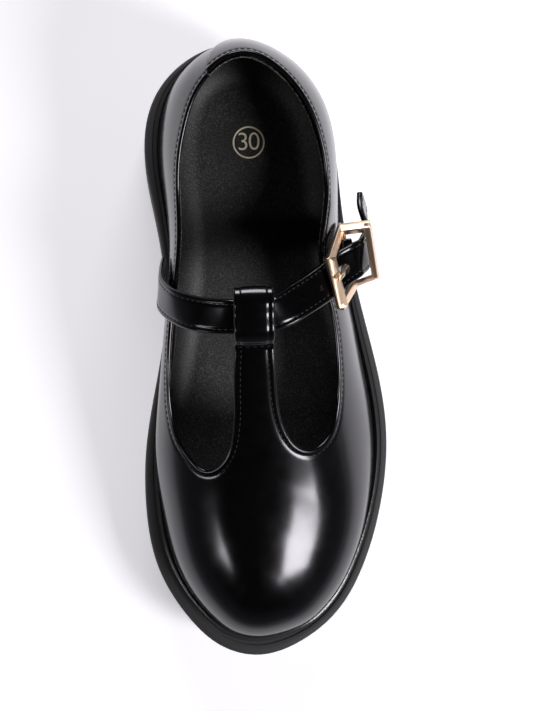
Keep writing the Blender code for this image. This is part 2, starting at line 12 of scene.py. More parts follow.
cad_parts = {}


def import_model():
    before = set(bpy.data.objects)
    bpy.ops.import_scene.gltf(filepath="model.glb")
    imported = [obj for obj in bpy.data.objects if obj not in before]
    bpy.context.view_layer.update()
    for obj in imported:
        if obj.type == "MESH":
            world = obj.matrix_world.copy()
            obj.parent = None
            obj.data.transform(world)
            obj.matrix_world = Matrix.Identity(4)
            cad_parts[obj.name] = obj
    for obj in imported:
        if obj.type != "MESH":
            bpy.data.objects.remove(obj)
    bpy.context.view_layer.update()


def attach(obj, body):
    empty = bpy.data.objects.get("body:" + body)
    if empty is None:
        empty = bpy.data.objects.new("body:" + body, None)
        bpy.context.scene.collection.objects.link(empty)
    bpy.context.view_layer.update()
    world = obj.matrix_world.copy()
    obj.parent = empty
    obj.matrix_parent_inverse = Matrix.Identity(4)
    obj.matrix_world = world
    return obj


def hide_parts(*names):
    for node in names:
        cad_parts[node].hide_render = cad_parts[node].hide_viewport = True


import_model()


# Outsole: one black rubber unit, moulded with a raised bead beside the upper, a flat matt rim and cross lugs.
# The upper is cemented into the seat inside the bead.
MM = 0.001
HALF_LENGTH = 107.5
SOLE_OUTLINE = (
    # station, outer, inner
    (-103.2, 15.6, -14.2),
    (-93.5, 28.8, -24.3),
    (-76.0, 39.8, -34.2),
    (-54.0, 46.8, -37.8),
    (-33.0, 49.2, -36.9),
    (-10.0, 46.8, -32.4),
    (8.0, 42.7, -29.0),
    (30.0, 37.9, -28.4),
    (50.0, 35.0, -31.0),
    (70.0, 33.2, -33.6),
    (88.0, 28.4, -30.2),
    (98.5, 21.0, -22.4),
)
RIM = (
    # station, outer, inner
    (-108.0, 7.2, 7.2),
    (-103.0, 5.8, 6.9),
    (-92.0, 5.4, 6.5),
    (-75.0, 5.2, 6.4),
    (-45.0, 4.5, 5.5),
    (-20.0, 4.6, 4.2),
    (0.0, 4.5, 3.2),
    (20.0, 3.7, 2.6),
    (40.0, 2.2, 3.6),
    (60.0, 1.6, 4.7),
    (85.0, 1.6, 4.9),
    (98.0, 2.0, 3.6),
    (108.0, 2.6, 2.6),
)
RIM_HEIGHT = (
    # station, height
    (-108.0, 30.0),
    (-80.0, 25.0),
    (-45.0, 22.5),
    (-20.0, 23.5),
    (20.0, 28.0),
    (60.0, 32.0),
    (108.0, 33.0),
)
SIDE_BLEND = 20.0
TOE_SPRING = 8.0
TOE_SPRING_START = -52.0
TOE_SPRING_RUN = 56.0
TOE_SPRING_CURVE = 1.8
BACK_RISE = 2.5
BACK_RISE_START = 94.0
BACK_RISE_RUN = 14.0
HEEL_BREAST = 42.0
BREAST_SLANT = 1.5
ARCH_FRONT = 6.0
ARCH_LIFT = 5.0
ARCH_STEPS = 13
LUG_STRETCHES = ((-92.0, -4.0), (52.0, 97.0))
LUG_DEPTH = 4.0
LUG_GROOVE = 3.6
LUG_PITCH = 11.0
CUT_BELOW = -3.0
CUT_REACH = 60.0
SOLE_POINTS = 480
CENTRING_POINTS = 720
SOLE_SHARP = math.radians(50)


def through(table, column):
    """Smooth curve through one column of a table whose first column rises, level beyond its ends."""
    stations = np.array([row[0] for row in table], float)
    values = np.array([row[column] for row in table], float)
    slopes = np.gradient(values, stations)

    def at(place):
        place = np.clip(place, stations[0], stations[-1])
        i = np.clip(np.searchsorted(stations, place, side="right") - 1, 0, len(stations) - 2)
        span = stations[i + 1] - stations[i]
        w = (place - stations[i]) / span
        from_low = values[i] * (1 + 2 * w) + slopes[i] * span * w
        from_high = values[i + 1] * (3 - 2 * w) - slopes[i + 1] * span * (1 - w)
        return from_low * (1 - w) ** 2 + from_high * w**2

    return at


def closed_spline(points, count):
    """Places evenly spread along the smooth closed curve through the points."""
    p = np.array(points, float)
    ahead = np.roll(p, -1, axis=0) - p
    chord = np.linalg.norm(ahead, axis=1)
    size = len(p)
    matrix = np.zeros((size, size))
    for i in range(size):
        matrix[i, i - 1] += chord[i - 1]
        matrix[i, i] += 2 * (chord[i - 1] + chord[i])
        matrix[i, (i + 1) % size] += chord[i]
    steps = ahead / chord[:, None]
    bend = np.linalg.solve(matrix, 6 * (steps - np.roll(steps, 1, axis=0)))
    knots = np.concatenate([[0], np.cumsum(chord)])

    def at(length):
        i = np.clip(np.searchsorted(knots, length, side="right") - 1, 0, size - 1)
        j = (i + 1) % size
        h = chord[i][:, None]
        done = (length - knots[i])[:, None]
        left = h - done
        curve = (bend[i] * left**3 + bend[j] * done**3) / (6 * h)
        return curve + (p[i] / h - bend[i] * h / 6) * left + (p[j] / h - bend[j] * h / 6) * done

    fine = at(np.linspace(0, knots[-1], 40 * size, endpoint=False))
    travel = np.linalg.norm(np.roll(fine, -1, axis=0) - fine, axis=1)
    arc = np.concatenate([[0], np.cumsum(travel)])
    even = np.linspace(0, arc[-1], count, endpoint=False)
    loop = np.vstack([fine, fine[:1]])
    return np.column_stack([np.interp(even, arc, loop[:, k]) for k in range(p.shape[1])])


def outline(table, count):
    """Closed outline from a table of reaches, from the heel round the outer side to the toe and back."""
    outer = [(row[1], row[0]) for row in reversed(table)]
    inner = [(row[2], row[0]) for row in table]
    return closed_spline([(0, HALF_LENGTH), *outer, (0, -HALF_LENGTH), *inner], count)


def sideways(loop):
    """Direction across a clockwise loop at each of its points, away from what it encloses."""
    along = np.roll(loop, -1, axis=0) - np.roll(loop, 1, axis=0)
    along /= np.linalg.norm(along, axis=1)[:, None]
    return np.column_stack([-along[:, 1], along[:, 0]])


def drawn_in(loop, inset):
    """The outline moved inwards by one width, or by one for each of its points."""
    return loop - sideways(loop) * np.broadcast_to(inset, len(loop))[:, None]


def two_sided(table, station, side):
    """Value between a table's outer and inner columns, for a side from 1, outer, to -1, inner."""
    outer = through(table, 1)(station)
    inner = through(table, 2)(station)
    return (outer + inner) / 2 + side * (outer - inner) / 2


def rim_width(loop):
    return two_sided(RIM, loop[:, 1], np.clip(loop[:, 0] / SIDE_BLEND, -1, 1))


rim_height = through(RIM_HEIGHT, 1)
sole_loop = outline(SOLE_OUTLINE, SOLE_POINTS)
centring_x = outline(SOLE_OUTLINE, CENTRING_POINTS)[:, 0]
ORIGIN_X = (centring_x.min() + centring_x.max()) / 2


def tread_height(station):
    """Underside of the sole: flat under heel and ball, rising at the toe and a little at the back."""
    toe = np.clip((TOE_SPRING_START - station) / TOE_SPRING_RUN, 0, None)
    back = np.clip((station - BACK_RISE_START) / BACK_RISE_RUN, 0, None)
    return TOE_SPRING * toe**TOE_SPRING_CURVE + BACK_RISE * back**2


def add_object(name, data):
    made = bpy.data.objects.new(name, data)
    bpy.context.scene.collection.objects.link(made)
    return made


def add_mesh(name, points, faces, *finishes):
    """A named piece from places in millimetres, its faces turned outwards."""
    mesh = bpy.data.meshes.new(name)
    places = (np.asarray(points, float) - (ORIGIN_X, 0, 0)) * MM
    mesh.from_pydata(places.tolist(), [], [tuple(map(int, face)) for face in faces])
    form = bmesh.new()
    form.from_mesh(mesh)
    bmesh.ops.recalc_face_normals(form, faces=form.faces)
    form.to_mesh(mesh)
    form.free()
    mesh.shade_smooth()
    for finish in finishes:
        mesh.materials.append(finish)
    return add_object(name, mesh)


def ring_solid(rings, lid):
    """Places and faces of a solid between stacked closed rings.

    Lid triangles close the first and last ring. With no lid the last ring meets the first.
    """
    count = len(rings[0])
    top = (len(rings) - 1) * count
    faces = []
    for low in range(0, top if lid else top + count, count):
        high = (low + count) % (top + count)
        for i in range(count):
            j = (i + 1) % count
            faces.append((low + i, low + j, high + j, high + i))
    faces += [tuple(face) for face in lid]
    faces += [tuple(top + k for k in reversed(face)) for face in lid]
    return np.vstack(rings), faces


def lid_of(loop):
    """Triangles that fill a closed outline."""
    count = len(loop)
    edges = [(i, (i + 1) % count) for i in range(count)]
    made = delaunay_2d_cdt([tuple(p) for p in loop], edges, [], 1, 1e-6)
    order = [source[0] for source in made[3]]
    return [tuple(order[k] for k in face) for face in made[2]]


def bake(piece):
    """Works a piece's modifiers into its mesh."""
    graph = bpy.context.evaluated_depsgraph_get()
    mesh = bpy.data.meshes.new_from_object(piece.evaluated_get(graph))
    piece.modifiers.clear()
    piece.data = mesh


def combine(piece, others, operation):
    """Cuts other pieces out of a piece, or joins them to it, and uses them up."""
    for other in others:
        boolean = piece.modifiers.new(other.name, "BOOLEAN")
        boolean.operation = operation
        boolean.object = other
    bake(piece)
    for other in others:
        bpy.data.objects.remove(other)


def settle(piece, slot, *nodes):
    """Fixes a piece to the shoe and hides the imported solids that it stands for."""
    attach(piece, "root")
    if nodes:
        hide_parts(*nodes)


class Wire:
    """A node's output. Sums on it add Math nodes to its tree."""

    def __init__(self, nodes, socket):
        self.nodes = nodes
        self.socket = socket

    def _maths(self, operation, first, second):
        return self.nodes.node("ShaderNodeMath", {"operation": operation}, {0: first, 1: second})

    def __add__(self, other):
        return self._maths("ADD", self, other)

    def __sub__(self, other):
        return self._maths("SUBTRACT", self, other)

    def __rsub__(self, other):
        return self._maths("SUBTRACT", other, self)

    def __mul__(self, other):
        return self._maths("MULTIPLY", self, other)

    __radd__ = __add__
    __rmul__ = __mul__


class Nodes:
    """The nodes of one tree."""

    def __init__(self, tree):
        self.tree = tree

    def fill(self, socket, value):
        if isinstance(value, Wire):
            self.tree.links.new(value.socket, socket)
        else:
            socket.default_value = value

    def node(self, kind, settings, sockets, output=0):
        made = self.tree.nodes.new(kind)
        for name, value in settings.items():
            setattr(made, name, value)
        for name, value in sockets.items():
            self.fill(made.inputs[name], value)
        return Wire(self, made.outputs[output])

    def mix(self, share, first, second):
        """A colour between two colours."""
        sockets = {0: share, 6: (*first, 1.0), 7: (*second, 1.0)}
        return self.node("ShaderNodeMix", {"data_type": "RGBA"}, sockets, 2)


class Finish(Nodes):
    """A material on one Principled surface."""

    def __init__(self, name, **fixed):
        self.material = bpy.data.materials.new(name)
        self.material.use_nodes = True
        super().__init__(self.material.node_tree)
        self.surface = self.tree.nodes["Principled BSDF"]
        self.set(**fixed)

    def place(self):
        return self.node("ShaderNodeTexCoord", {}, {}, "Object")

    def noise(self, scale, detail):
        sockets = {"Vector": self.place(), "Scale": scale, "Detail": detail}
        return self.node("ShaderNodeTexNoise", {}, sockets, "Fac")

    def pebbles(self, scale):
        sockets = {"Vector": self.place(), "Scale": scale}
        return self.node("ShaderNodeTexVoronoi", {"feature": "SMOOTH_F1"}, sockets, "Distance")

    def above(self, value, low, high):
        """0 below the low value, 1 above the high one, smooth between."""
        sockets = {"Value": value, "From Min": low, "From Max": high}
        return self.node("ShaderNodeMapRange", {"interpolation_type": "SMOOTHSTEP"}, sockets)

    def attribute(self, name):
        return self.node("ShaderNodeAttribute", {"attribute_name": name}, {}, "Fac")

    def bump(self, height, depth, strength):
        """Relief of the given depth in millimetres."""
        sockets = {"Height": height, "Distance": depth * MM, "Strength": strength}
        return self.node("ShaderNodeBump", {}, sockets, "Normal")

    def set(self, **varied):
        for socket, value in varied.items():
            self.fill(self.surface.inputs[socket.replace("_", " ")], value)
        return self.material


rubber = Finish("sole_rubber", IOR=1.5)
bead_shine = rubber.attribute("bead")
rubber_grain = rubber.noise(1400.0, 3.0)
rubber_patch = rubber.noise(60.0, 3.0)
rubber_finish = rubber.set(
    Base_Color=rubber.mix(rubber_patch, (0.032, 0.032, 0.034), (0.044, 0.044, 0.047)),
    Roughness=0.62 + 0.1 * rubber_patch - 0.48 * bead_shine,
    Normal=rubber.bump(rubber_grain, 0.12, 0.5),
)

# The sole's section runs from the seat under the upper out over the bead and the rim and down to the tread.
# Its top is drawn together where the rim is narrower than usual.
USUAL_RIM = 5.0
SOLE_SECTION = (
    # part of the rim's width, inset, share of the height, lift, bead
    (1.0, 5.0, 1.0, 0.0, 0.0),
    (1.0, 0.6, 1.0, -0.1, 0.0),
    (1.0, 0.1, 1.0, -0.5, 0.3),
    (1.0, -0.3, 1.0, -0.45, 0.6),
    (1.0, -0.42, 1.0, 0.2, 1.0),
    (1.0, -0.62, 1.0, 0.65, 1.0),
    (1.0, -0.9, 1.0, 0.82, 1.0),
    (1.0, -1.4, 1.0, 0.62, 1.0),
    (1.0, -1.9, 1.0, 0.36, 1.0),
    (1.0, -2.2, 1.0, 0.02, 1.0),
    (1.0, -2.35, 1.0, -0.35, 0.6),
    (1.0, -2.5, 1.0, -0.4, 0.1),
    (0.62, -0.8, 1.0, -0.15, 0.0),
    (0.5, 0.0, 1.0, 0.1, 0.0),
    (0.35, 0.0, 1.0, 0.12, 0.0),
    (0.2, 0.3, 1.0, 0.0, 0.0),
    (0.0, 0.75, 1.0, -0.35, 0.0),
    (0.0, 0.3, 1.0, -0.8, 0.0),
    (0.0, 0.05, 1.0, -1.5, 0.0),
    (0.0, 0.0, 1.0, -2.4, 0.0),
    (0.0, 0.0, 0.72, 0.5, 0.0),
    (0.0, 0.35, 0.72, 0.2, 0.0),
    (0.0, 0.35, 0.72, -0.4, 0.0),
    (0.0, 0.05, 0.72, -0.7, 0.0),
    (0.0, 0.1, 0.4, 0.0, 0.0),
    (0.0, 0.3, 0.0, 2.2, 0.0),
    (0.0, 0.7, 0.0, 0.9, 0.0),
    (0.0, 1.3, 0.0, 0.2, 0.0),
    (0.0, 1.9, 0.0, 0.0, 0.0),
)
sole_rings = []
rim = rim_width(sole_loop)
rim_squeeze = np.minimum(rim / USUAL_RIM, 1.0)
for part, inset, share, lift, _ in SOLE_SECTION:
    squeeze = rim_squeeze if share == 1.0 else 1.0
    ring = drawn_in(sole_loop, part * rim + inset * squeeze)
    low = tread_height(ring[:, 1])
    lift = lift * squeeze if part > 0 else lift
    sole_rings.append(np.column_stack([ring, low + (rim_height(ring[:, 1]) - low) * share + lift]))
outsole = add_mesh("sole_unit", *ring_solid(sole_rings, lid_of(sole_rings[-1][:, :2])), rubber_finish)
bead = outsole.data.attributes.new("bead", "FLOAT", "POINT")
bead.data.foreach_set("value", np.repeat([row[4] for row in SOLE_SECTION], SOLE_POINTS).astype(np.float32))


def sole_cutter(name, section):
    """A bar right across under the sole, from its section of stations and heights."""
    rings = [np.array([(x, y, z) for y, z in section]) for x in (-CUT_REACH, CUT_REACH)]
    return add_mesh(name, *ring_solid(rings, lid_of(section)))


arch = [(HEEL_BREAST + BREAST_SLANT, CUT_BELOW)]
for share in np.linspace(0, 1, ARCH_STEPS):
    arch.append((HEEL_BREAST + (ARCH_FRONT - HEEL_BREAST) * share, ARCH_LIFT * (1 - share**2)))
arch.append((ARCH_FRONT, CUT_BELOW))
sole_cutters = [sole_cutter("arch_cutter", arch)]
for first, last in LUG_STRETCHES:
    for station in np.arange(first, last + 0.1, LUG_PITCH):
        top = float(tread_height(np.array(station))) + LUG_DEPTH
        back, front = station + LUG_GROOVE / 2, station - LUG_GROOVE / 2
        groove = [(front, CUT_BELOW), (back, CUT_BELOW), (back, top), (front, top)]
        sole_cutters.append(sole_cutter("groove_cutter", groove))
combine(outsole, sole_cutters, "DIFFERENCE")
outsole.data.set_sharp_from_angle(angle=SOLE_SHARP)
settle(outsole, "sole_rubber", "outsole")


# Form of the upper: the last that the leather is pulled over, which is drawn out of the finished shoe.
# Its meridians rise from the feather line, where wall and sole meet, to a crest over the middle of the foot.
GAP = 0.3
CREST = (
    # station, height
    (-78.0, 53.8),
    (-68.0, 54.7),
    (-56.0, 56.2),
    (-43.0, 59.5),
    (-30.0, 64.2),
    (-15.0, 69.8),
    (0.0, 75.2),
    (12.0, 78.4),
    (25.0, 83.0),
    (45.0, 91.0),
    (78.0, 92.0),
)
CREST_X = -1.0
SPINE_SHARE = 0.72
TOE_LEAN = 1.5
FULLNESS = (
    # station, outer, inner, rise
    (-103.0, 0.60, 0.60, 0.60),
    (-60.0, 0.52, 0.58, 0.60),
    (-27.0, 0.44, 0.62, 0.60),
    (-5.0, 0.52, 0.92, 0.70),
    (25.0, 0.50, 0.90, 0.72),
    (50.0, 0.42, 0.50, 0.65),
    (75.0, 0.40, 0.40, 0.60),
    (103.0, 0.46, 0.46, 0.60),
)
COLLAR_OUTER = (
    # x, station, height
    (-1.0, 95.6, 77.0),
    (12.4, 88.5, 75.2),
    (22.6, 72.0, 70.0),
    (26.2, 51.0, 64.5),
    (23.4, 31.0, 66.0),
    (27.2, 10.0, 62.0),
    (28.7, -8.0, 58.0),
    (26.4, -27.0, 54.6),
)
COLLAR_INNER = (
    # x, station, height
    (-13.0, 89.5, 75.2),
    (-21.3, 73.0, 70.0),
    (-23.9, 53.0, 64.5),
    (-24.8, 31.0, 64.0),
    (-28.4, 4.5, 60.5),
    (-29.2, -8.0, 57.5),
    (-27.1, -27.4, 54.0),
)
BAR_OUTER = (
    # x, station
    (22.6, -32.0),
    (18.0, -33.9),
    (12.9, -32.2),
    (9.4, -27.2),
    (7.0, -18.4),
    (6.1, -6.7),
    (5.9, 8.0),
    (5.6, 14.0),
    (2.6, 16.2),
)
BAR_INNER = (
    # x, station
    (-23.4, -34.3),
    (-18.7, -39.2),
    (-13.8, -38.4),
    (-10.2, -34.0),
    (-8.5, -27.0),
    (-7.9, -18.0),
    (-7.8, -6.0),
    (-7.8, 8.0),
    (-7.5, 14.0),
    (-4.6, 16.2),
)
crest_height = through(CREST, 1)


def halved(low, high, before):
    """Place between two bounds where a test stops being true, found by halving."""
    for _ in range(40):
        middle = (low + high) / 2
        short = before(middle)
        low = np.where(short, middle, low)
        high = np.where(short, high, middle)
    return low


class Last:
    """A place on the form is a share of the way round and a share of the way up. It can be opened flat."""

    SAMPLES = 1440
    PATTERN_REACH = 60.0
    END_DEPTH = 8.0
    TOE_SHARES = (-0.12, -0.06, 0.0, 0.06, 0.12)
    LOWEST_TOP = 0.3
    NORMAL_STEP = 0.25

    def __init__(self):
        sole = outline(SOLE_OUTLINE, self.SAMPLES)
        feather = drawn_in(sole, rim_width(sole))
        self.rounds = np.linspace(0, 1, self.SAMPLES + 1)
        self.feather = np.vstack([feather, feather[:1]])
        self.toe = self._under_crest(self.feather[:, 1] < feather[:, 1].min() + self.END_DEPTH)
        self.heel = self._under_crest(self.feather[:, 1] > feather[:, 1].max() - self.END_DEPTH)
        rows = [self._lean_row(*row) for row in COLLAR_OUTER + COLLAR_INNER]
        rows += [(self.toe + step, TOE_LEAN) for step in self.TOE_SHARES]
        rows.sort()
        around = [(at - 1, lean) for at, lean in rows] + rows + [(at + 1, lean) for at, lean in rows]
        self.lean = through(around, 1)

    def foot(self, at):
        at = np.asarray(at) % 1.0
        return np.column_stack([np.interp(at, self.rounds, self.feather[:, k]) for k in (0, 1)])

    def _under_crest(self, end):
        """Share of the way round where one end of the feather line passes under the crest."""
        across = self.feather[end, 0]
        order = np.argsort(across)
        shares = np.where(self.rounds > 0.75, self.rounds - 1.0, self.rounds)[end]
        return np.interp(CREST_X, across[order], shares[order])

    def frame(self, at):
        """Foot and centre of each meridian seen from above, its direction outwards and its reach."""
        foot = self.foot(at)
        centre = np.column_stack([np.full(len(foot), CREST_X), SPINE_SHARE * foot[:, 1]])
        reach = np.linalg.norm(foot - centre, axis=1)
        return foot, centre, (foot - centre) / reach[:, None], reach

    def shoulder(self, at):
        """How far out each meridian keeps to the slope of the crest."""
        foot, _, outward, reach = self.frame(at)
        return reach * two_sided(FULLNESS, foot[:, 1], outward[:, 0])

    def heights(self, at, up):
        foot, centre, outward, _ = self.frame(at)
        low = rim_height(foot[:, 1]) + GAP
        straight = through(FULLNESS, 3)(foot[:, 1])
        rise = 3 * up * (1 - up) ** 2 * straight + 3 * up**2 * (1 - up) + up**3
        slope = (crest_height(centre[:, 1] + 1) - crest_height(centre[:, 1] - 1)) / 2
        tilt = slope * outward[:, 1] * self.shoulder(at)
        return low + (crest_height(centre[:, 1]) - low) * rise + 3 * up**2 * (1 - up) * tilt

    def _reach_without_lean(self, at, up):
        _, _, _, reach = self.frame(at)
        return reach * ((1 - up) ** 3 + 3 * up * (1 - up) ** 2) + 3 * up**2 * (1 - up) * self.shoulder(at)

    def reaches(self, at, up):
        return self._reach_without_lean(at, up) + 3 * up * (1 - up) ** 2 * self.lean(at)

    def _lean_row(self, x, station, height):
        """How far the wall leans out so that it passes through one place on the collar."""
        at = self.round_of(np.array([[x, station]]))
        up = self.up_at_height(at, height)
        _, centre, _, _ = self.frame(at)
        wanted = np.hypot(x - centre[0, 0], station - centre[0, 1])
        lean = (wanted - self._reach_without_lean(at, up)) / (3 * up * (1 - up) ** 2)
        return float(at[0]), float(lean[0])

    def point(self, at, up):
        at = np.asarray(at) % 1.0
        _, centre, outward, _ = self.frame(at)
        plan = centre + outward * self.reaches(at, up)[:, None]
        return np.column_stack([plan, self.heights(at, up)])

    def round_of(self, plan):
        """Share of the way round of the meridian that passes over each place."""
        outer = plan[:, 0] >= CREST_X

        def before(at):
            foot, centre, _, _ = self.frame(at)
            arm = foot - centre
            off = plan - centre
            return off[:, 0] * arm[:, 1] > off[:, 1] * arm[:, 0]

        low = np.where(outer, self.heel, self.toe)
        high = np.where(outer, self.toe, self.heel + 1.0)
        return halved(low, high, before)

    def up_at_height(self, at, height):
        return halved(np.zeros(len(at)), np.ones(len(at)), lambda up: self.heights(at, up) < height)

    def up_over(self, at, plan):
        """Share of the way up where the form's upper side lies over a place."""
        _, centre, _, _ = self.frame(at)
        wanted = np.linalg.norm(plan - centre, axis=1)
        lowest = np.full(len(at), self.LOWEST_TOP)
        return halved(lowest, np.ones(len(at)), lambda up: self.reaches(at, up) > wanted)

    def to_pattern(self, at, up):
        """The form opened flat, with its crest in place and its walls laid outwards."""
        _, centre, outward, reach = self.frame(at)
        return centre + outward * ((reach + self.PATTERN_REACH) * (1 - up))[:, None]

    def from_pattern(self, flat):
        at = self.round_of(flat)
        _, centre, _, reach = self.frame(at)
        out = np.linalg.norm(flat - centre, axis=1) / (reach + self.PATTERN_REACH)
        return at, 1 - np.clip(out, 0, 1)

    def surface(self, flat):
        return self.point(*self.from_pattern(flat))

    def normals(self, flat):
        """Way out of the form at places of the flat pattern."""
        step = self.NORMAL_STEP
        across = self.surface(flat + (step, 0)) - self.surface(flat - (step, 0))
        along = self.surface(flat + (0, step)) - self.surface(flat - (0, step))
        out = np.cross(across, along)
        return out / np.linalg.norm(out, axis=1)[:, None]


LAST = Last()


def collar_loop(count):
    """Edge of the opening on the flat pattern, round the collar, the windows and the bar."""
    places = []
    for x, station, *height in (*COLLAR_OUTER, *BAR_OUTER, *reversed(BAR_INNER), *reversed(COLLAR_INNER)):
        plan = np.array([[x, station]])
        at = LAST.round_of(plan)
        up = LAST.up_at_height(at, height[0]) if height else LAST.up_over(at, plan)
        places.append(LAST.to_pattern(at, up)[0])
    return closed_spline(places, count)


EDGE_POINTS = 760
EDGE_STRIDE = 0.4
EDGE_PROBE = 0.2
edge_flat = collar_loop(EDGE_POINTS)


def into_leather(distance):
    """The opening's edge moved into the leather by a distance measured on the surface."""
    loop = edge_flat
    way = sideways(edge_flat)
    left = distance
    while left > 1e-6:
        step = min(left, EDGE_STRIDE)
        ahead = LAST.surface(loop + EDGE_PROBE * way) - LAST.surface(loop)
        scale = np.linalg.norm(ahead, axis=1) / EDGE_PROBE
        loop = loop + way * (step / scale)[:, None]
        left -= step
    return loop


def enclosed(places, loop):
    """Which places lie inside a closed loop, by counting the sides crossed on the way out."""
    found = np.zeros(len(places), bool)
    for start, end in zip(loop, np.roll(loop, -1, axis=0)):
        spans = (start[1] > places[:, 1]) != (end[1] > places[:, 1])
        reach = start[0] + (places[:, 1] - start[1]) * (end[0] - start[0]) / (end[1] - start[1] + 1e-12)
        found ^= spans & (places[:, 0] < reach)
    return found


def nearest(others, places):
    """Distance from each place to the nearest of some others, flat or in space."""
    others, places = (np.pad(p, ((0, 0), (0, 3 - p.shape[1]))) for p in (others, places))
    tree = KDTree(len(others))
    for i, p in enumerate(others):
        tree.insert(p, i)
    tree.balance()
    return np.array([tree.find(p)[2] for p in places])


ROW_CROWDING = 0.5
GRID_FOOT = 0.012
GRID_CLEAR = 0.62


def pattern_sheet(edge, rows, foot_count, step, extra=()):
    """Triangles over the flat pattern between the foot and an edge of the opening.

    Rows of places follow the edge, extra places are kept as they are, and a staggered grid fills the rest.
    The foot comes first, then the edge.
    """
    rounds = np.linspace(0, 1, foot_count, endpoint=False)
    foot = LAST.to_pattern(rounds, np.zeros(foot_count))
    kept = [foot, edge]
    for row in rows:
        away = nearest(edge, row)
        kept.append(row[(away > ROW_CROWDING * np.median(away)) & ~enclosed(row, edge)])
    near = np.vstack([*kept, *extra])
    reach = np.abs(foot).max() + step
    lines = np.arange(-reach, reach, step)
    grid = np.array([(x + (i % 2) * step / 2, y) for i, y in enumerate(lines) for x in lines])
    _, up = LAST.from_pattern(grid)
    grid = grid[(up > GRID_FOOT) & ~enclosed(grid, edge)]
    grid = grid[nearest(near, grid) > GRID_CLEAR * step]
    points = np.vstack([near, grid])
    borders = [(i, (i + 1) % foot_count) for i in range(foot_count)]
    borders += [(foot_count + i, foot_count + (i + 1) % len(edge)) for i in range(len(edge))]
    made = delaunay_2d_cdt([tuple(p) for p in points], borders, [], 1, 1e-6)
    flat = np.array([tuple(p) for p in made[0]])
    triangles = np.array(made[2])
    triangles = triangles[~enclosed(flat[triangles].mean(axis=1), edge)]
    return flat, triangles


def shell(outside, inside, triangles, foot_count, edge_count, roll):
    """Closed wall between two sheets with a rounded edge round the opening."""
    count = len(outside)
    faces = [tuple(t) for t in triangles] + [tuple(count + k for k in reversed(t)) for t in triangles]
    points = [outside, inside]
    rings = [np.arange(foot_count, foot_count + edge_count)]
    middle = (outside[rings[0]] + inside[rings[0]]) / 2
    across = (outside[rings[0]] - inside[rings[0]]) / 2
    way = np.roll(middle, -1, axis=0) - np.roll(middle, 1, axis=0)
    over = np.cross(way, across)
    over *= (np.linalg.norm(across, axis=1) / np.linalg.norm(over, axis=1))[:, None]
    base = 2 * count
    for turn in np.linspace(0, math.pi, roll + 2)[1:-1]:
        points.append(middle + math.cos(turn) * across + math.sin(turn) * over)
        rings.append(np.arange(base, base + edge_count))
        base += edge_count
    rings.append(count + rings[0])
    for one, two in zip(rings, rings[1:]):
        faces += [(a, b, d, c) for a, b, c, d in zip(one, np.roll(one, -1), two, np.roll(two, -1))]
    foot = np.arange(foot_count)
    faces += [(a, b, count + b, count + a) for a, b in zip(foot, np.roll(foot, -1))]
    return np.vstack(points), faces


# Insole: a padded sock of black grained lining leather, cupped at the heel and glued down over the board.
# A ring with the size number in it is stamped on its heel in gold foil.
WALL = 2.0
INSOLE_THICK = 4.0
INSOLE_POINTS = 360
SOCK_RINGS = 12
SOCK_CLEAR = 0.4
BOARD_CLEAR = 0.7
SOCK_DISH = (
    # station, rise of the edge, width of the rise
    (-100.0, 1.5, 6.0),
    (-30.0, 3.0, 7.0),
    (10.0, 5.5, 9.0),
    (50.0, 6.5, 11.0),
    (85.0, 7.5, 12.0),
    (105.0, 7.5, 12.0),
)
SOCK_DARK = (0.007, 0.007, 0.0075)
# colour of the sock's painted glints
SOCK_PAINTED_GLINT = (0.085, 0.083, 0.078)


def grained(name, dark, light, grain_scale, wear_and_glint_scale, smoothest, depth, strength):
    """Pebbled lining leather with pale specks that come and go, painted into its colour as glints of its
    grain.
    """
    leather = Finish(name, IOR=1.5)
    grain = leather.pebbles(grain_scale)
    wear_and_glint_patches = leather.noise(wear_and_glint_scale, 3.0)
    # Painted glints: pale specks in the colour where the grain would sparkle, in patches that come and go.
    painted_glint_speck = leather.above(leather.noise(1900.0, 2.0), 0.47, 0.64)
    return leather.set(
        Base_Color=leather.mix(painted_glint_speck * wear_and_glint_patches, dark, light),
        Roughness=smoothest + 0.14 * wear_and_glint_patches,
        Normal=leather.bump(grain, depth, strength),
    )


sock_finish = grained("grained_sock", SOCK_DARK, SOCK_PAINTED_GLINT, grain_scale=2300.0, wear_and_glint_scale=90.0,
                      smoothest=0.46, depth=0.10, strength=0.6)
sock_rounds = np.linspace(0, 1, INSOLE_POINTS, endpoint=False)
sock_foot = LAST.foot(sock_rounds)
sock_rise = through(SOCK_DISH, 1)(sock_foot[:, 1])
sock_reach = through(SOCK_DISH, 2)(sock_foot[:, 1])


def sock_level(station):
    return rim_height(station) + GAP + INSOLE_THICK


def sock_ring(share):
    """The sock's upper side at a share of the way in from its edge."""
    edge_top = sock_level(sock_foot[:, 1]) + sock_rise * (1 - share) ** 2
    wall = LAST.point(sock_rounds, LAST.up_at_height(sock_rounds, edge_top))[:, :2]
    plan = drawn_in(wall, WALL + SOCK_CLEAR + share * sock_reach)
    return np.column_stack([plan, sock_level(plan[:, 1]) + sock_rise * (1 - share) ** 2])


board = np.column_stack([drawn_in(sock_foot, WALL + BOARD_CLEAR), rim_height(sock_foot[:, 1]) + GAP])
sock_rings = [board] + [sock_ring(share) for share in np.linspace(0, 1, SOCK_RINGS)]
insole = add_mesh("sock_lining", *ring_solid(sock_rings, lid_of(sock_rings[-1][:, :2])), sock_finish)
settle(insole, "lining_leather", "insole")

foil = Finish("gold_foil", Metallic=0.2)
foil_speck = foil.noise(2600.0, 2.0)
foil_finish = foil.set(
    Base_Color=foil.mix(foil_speck, (0.86, 0.76, 0.55), (1.0, 0.93, 0.72)),
    Roughness=0.42 + 0.2 * foil_speck,
)

RING_PLACE = (2.5, 72.2)
RING_RADIUS = 5.6
RING_WIDTH = 0.6
RING_SIDES = 96
FOIL_THICK = 0.08
FOIL_SINK = -0.05
SIZE_NUMBER = "30"
SIZE_HEIGHT = 8.8
SIZE_BOLD = -0.07
SIZE_SPACING = 0.88


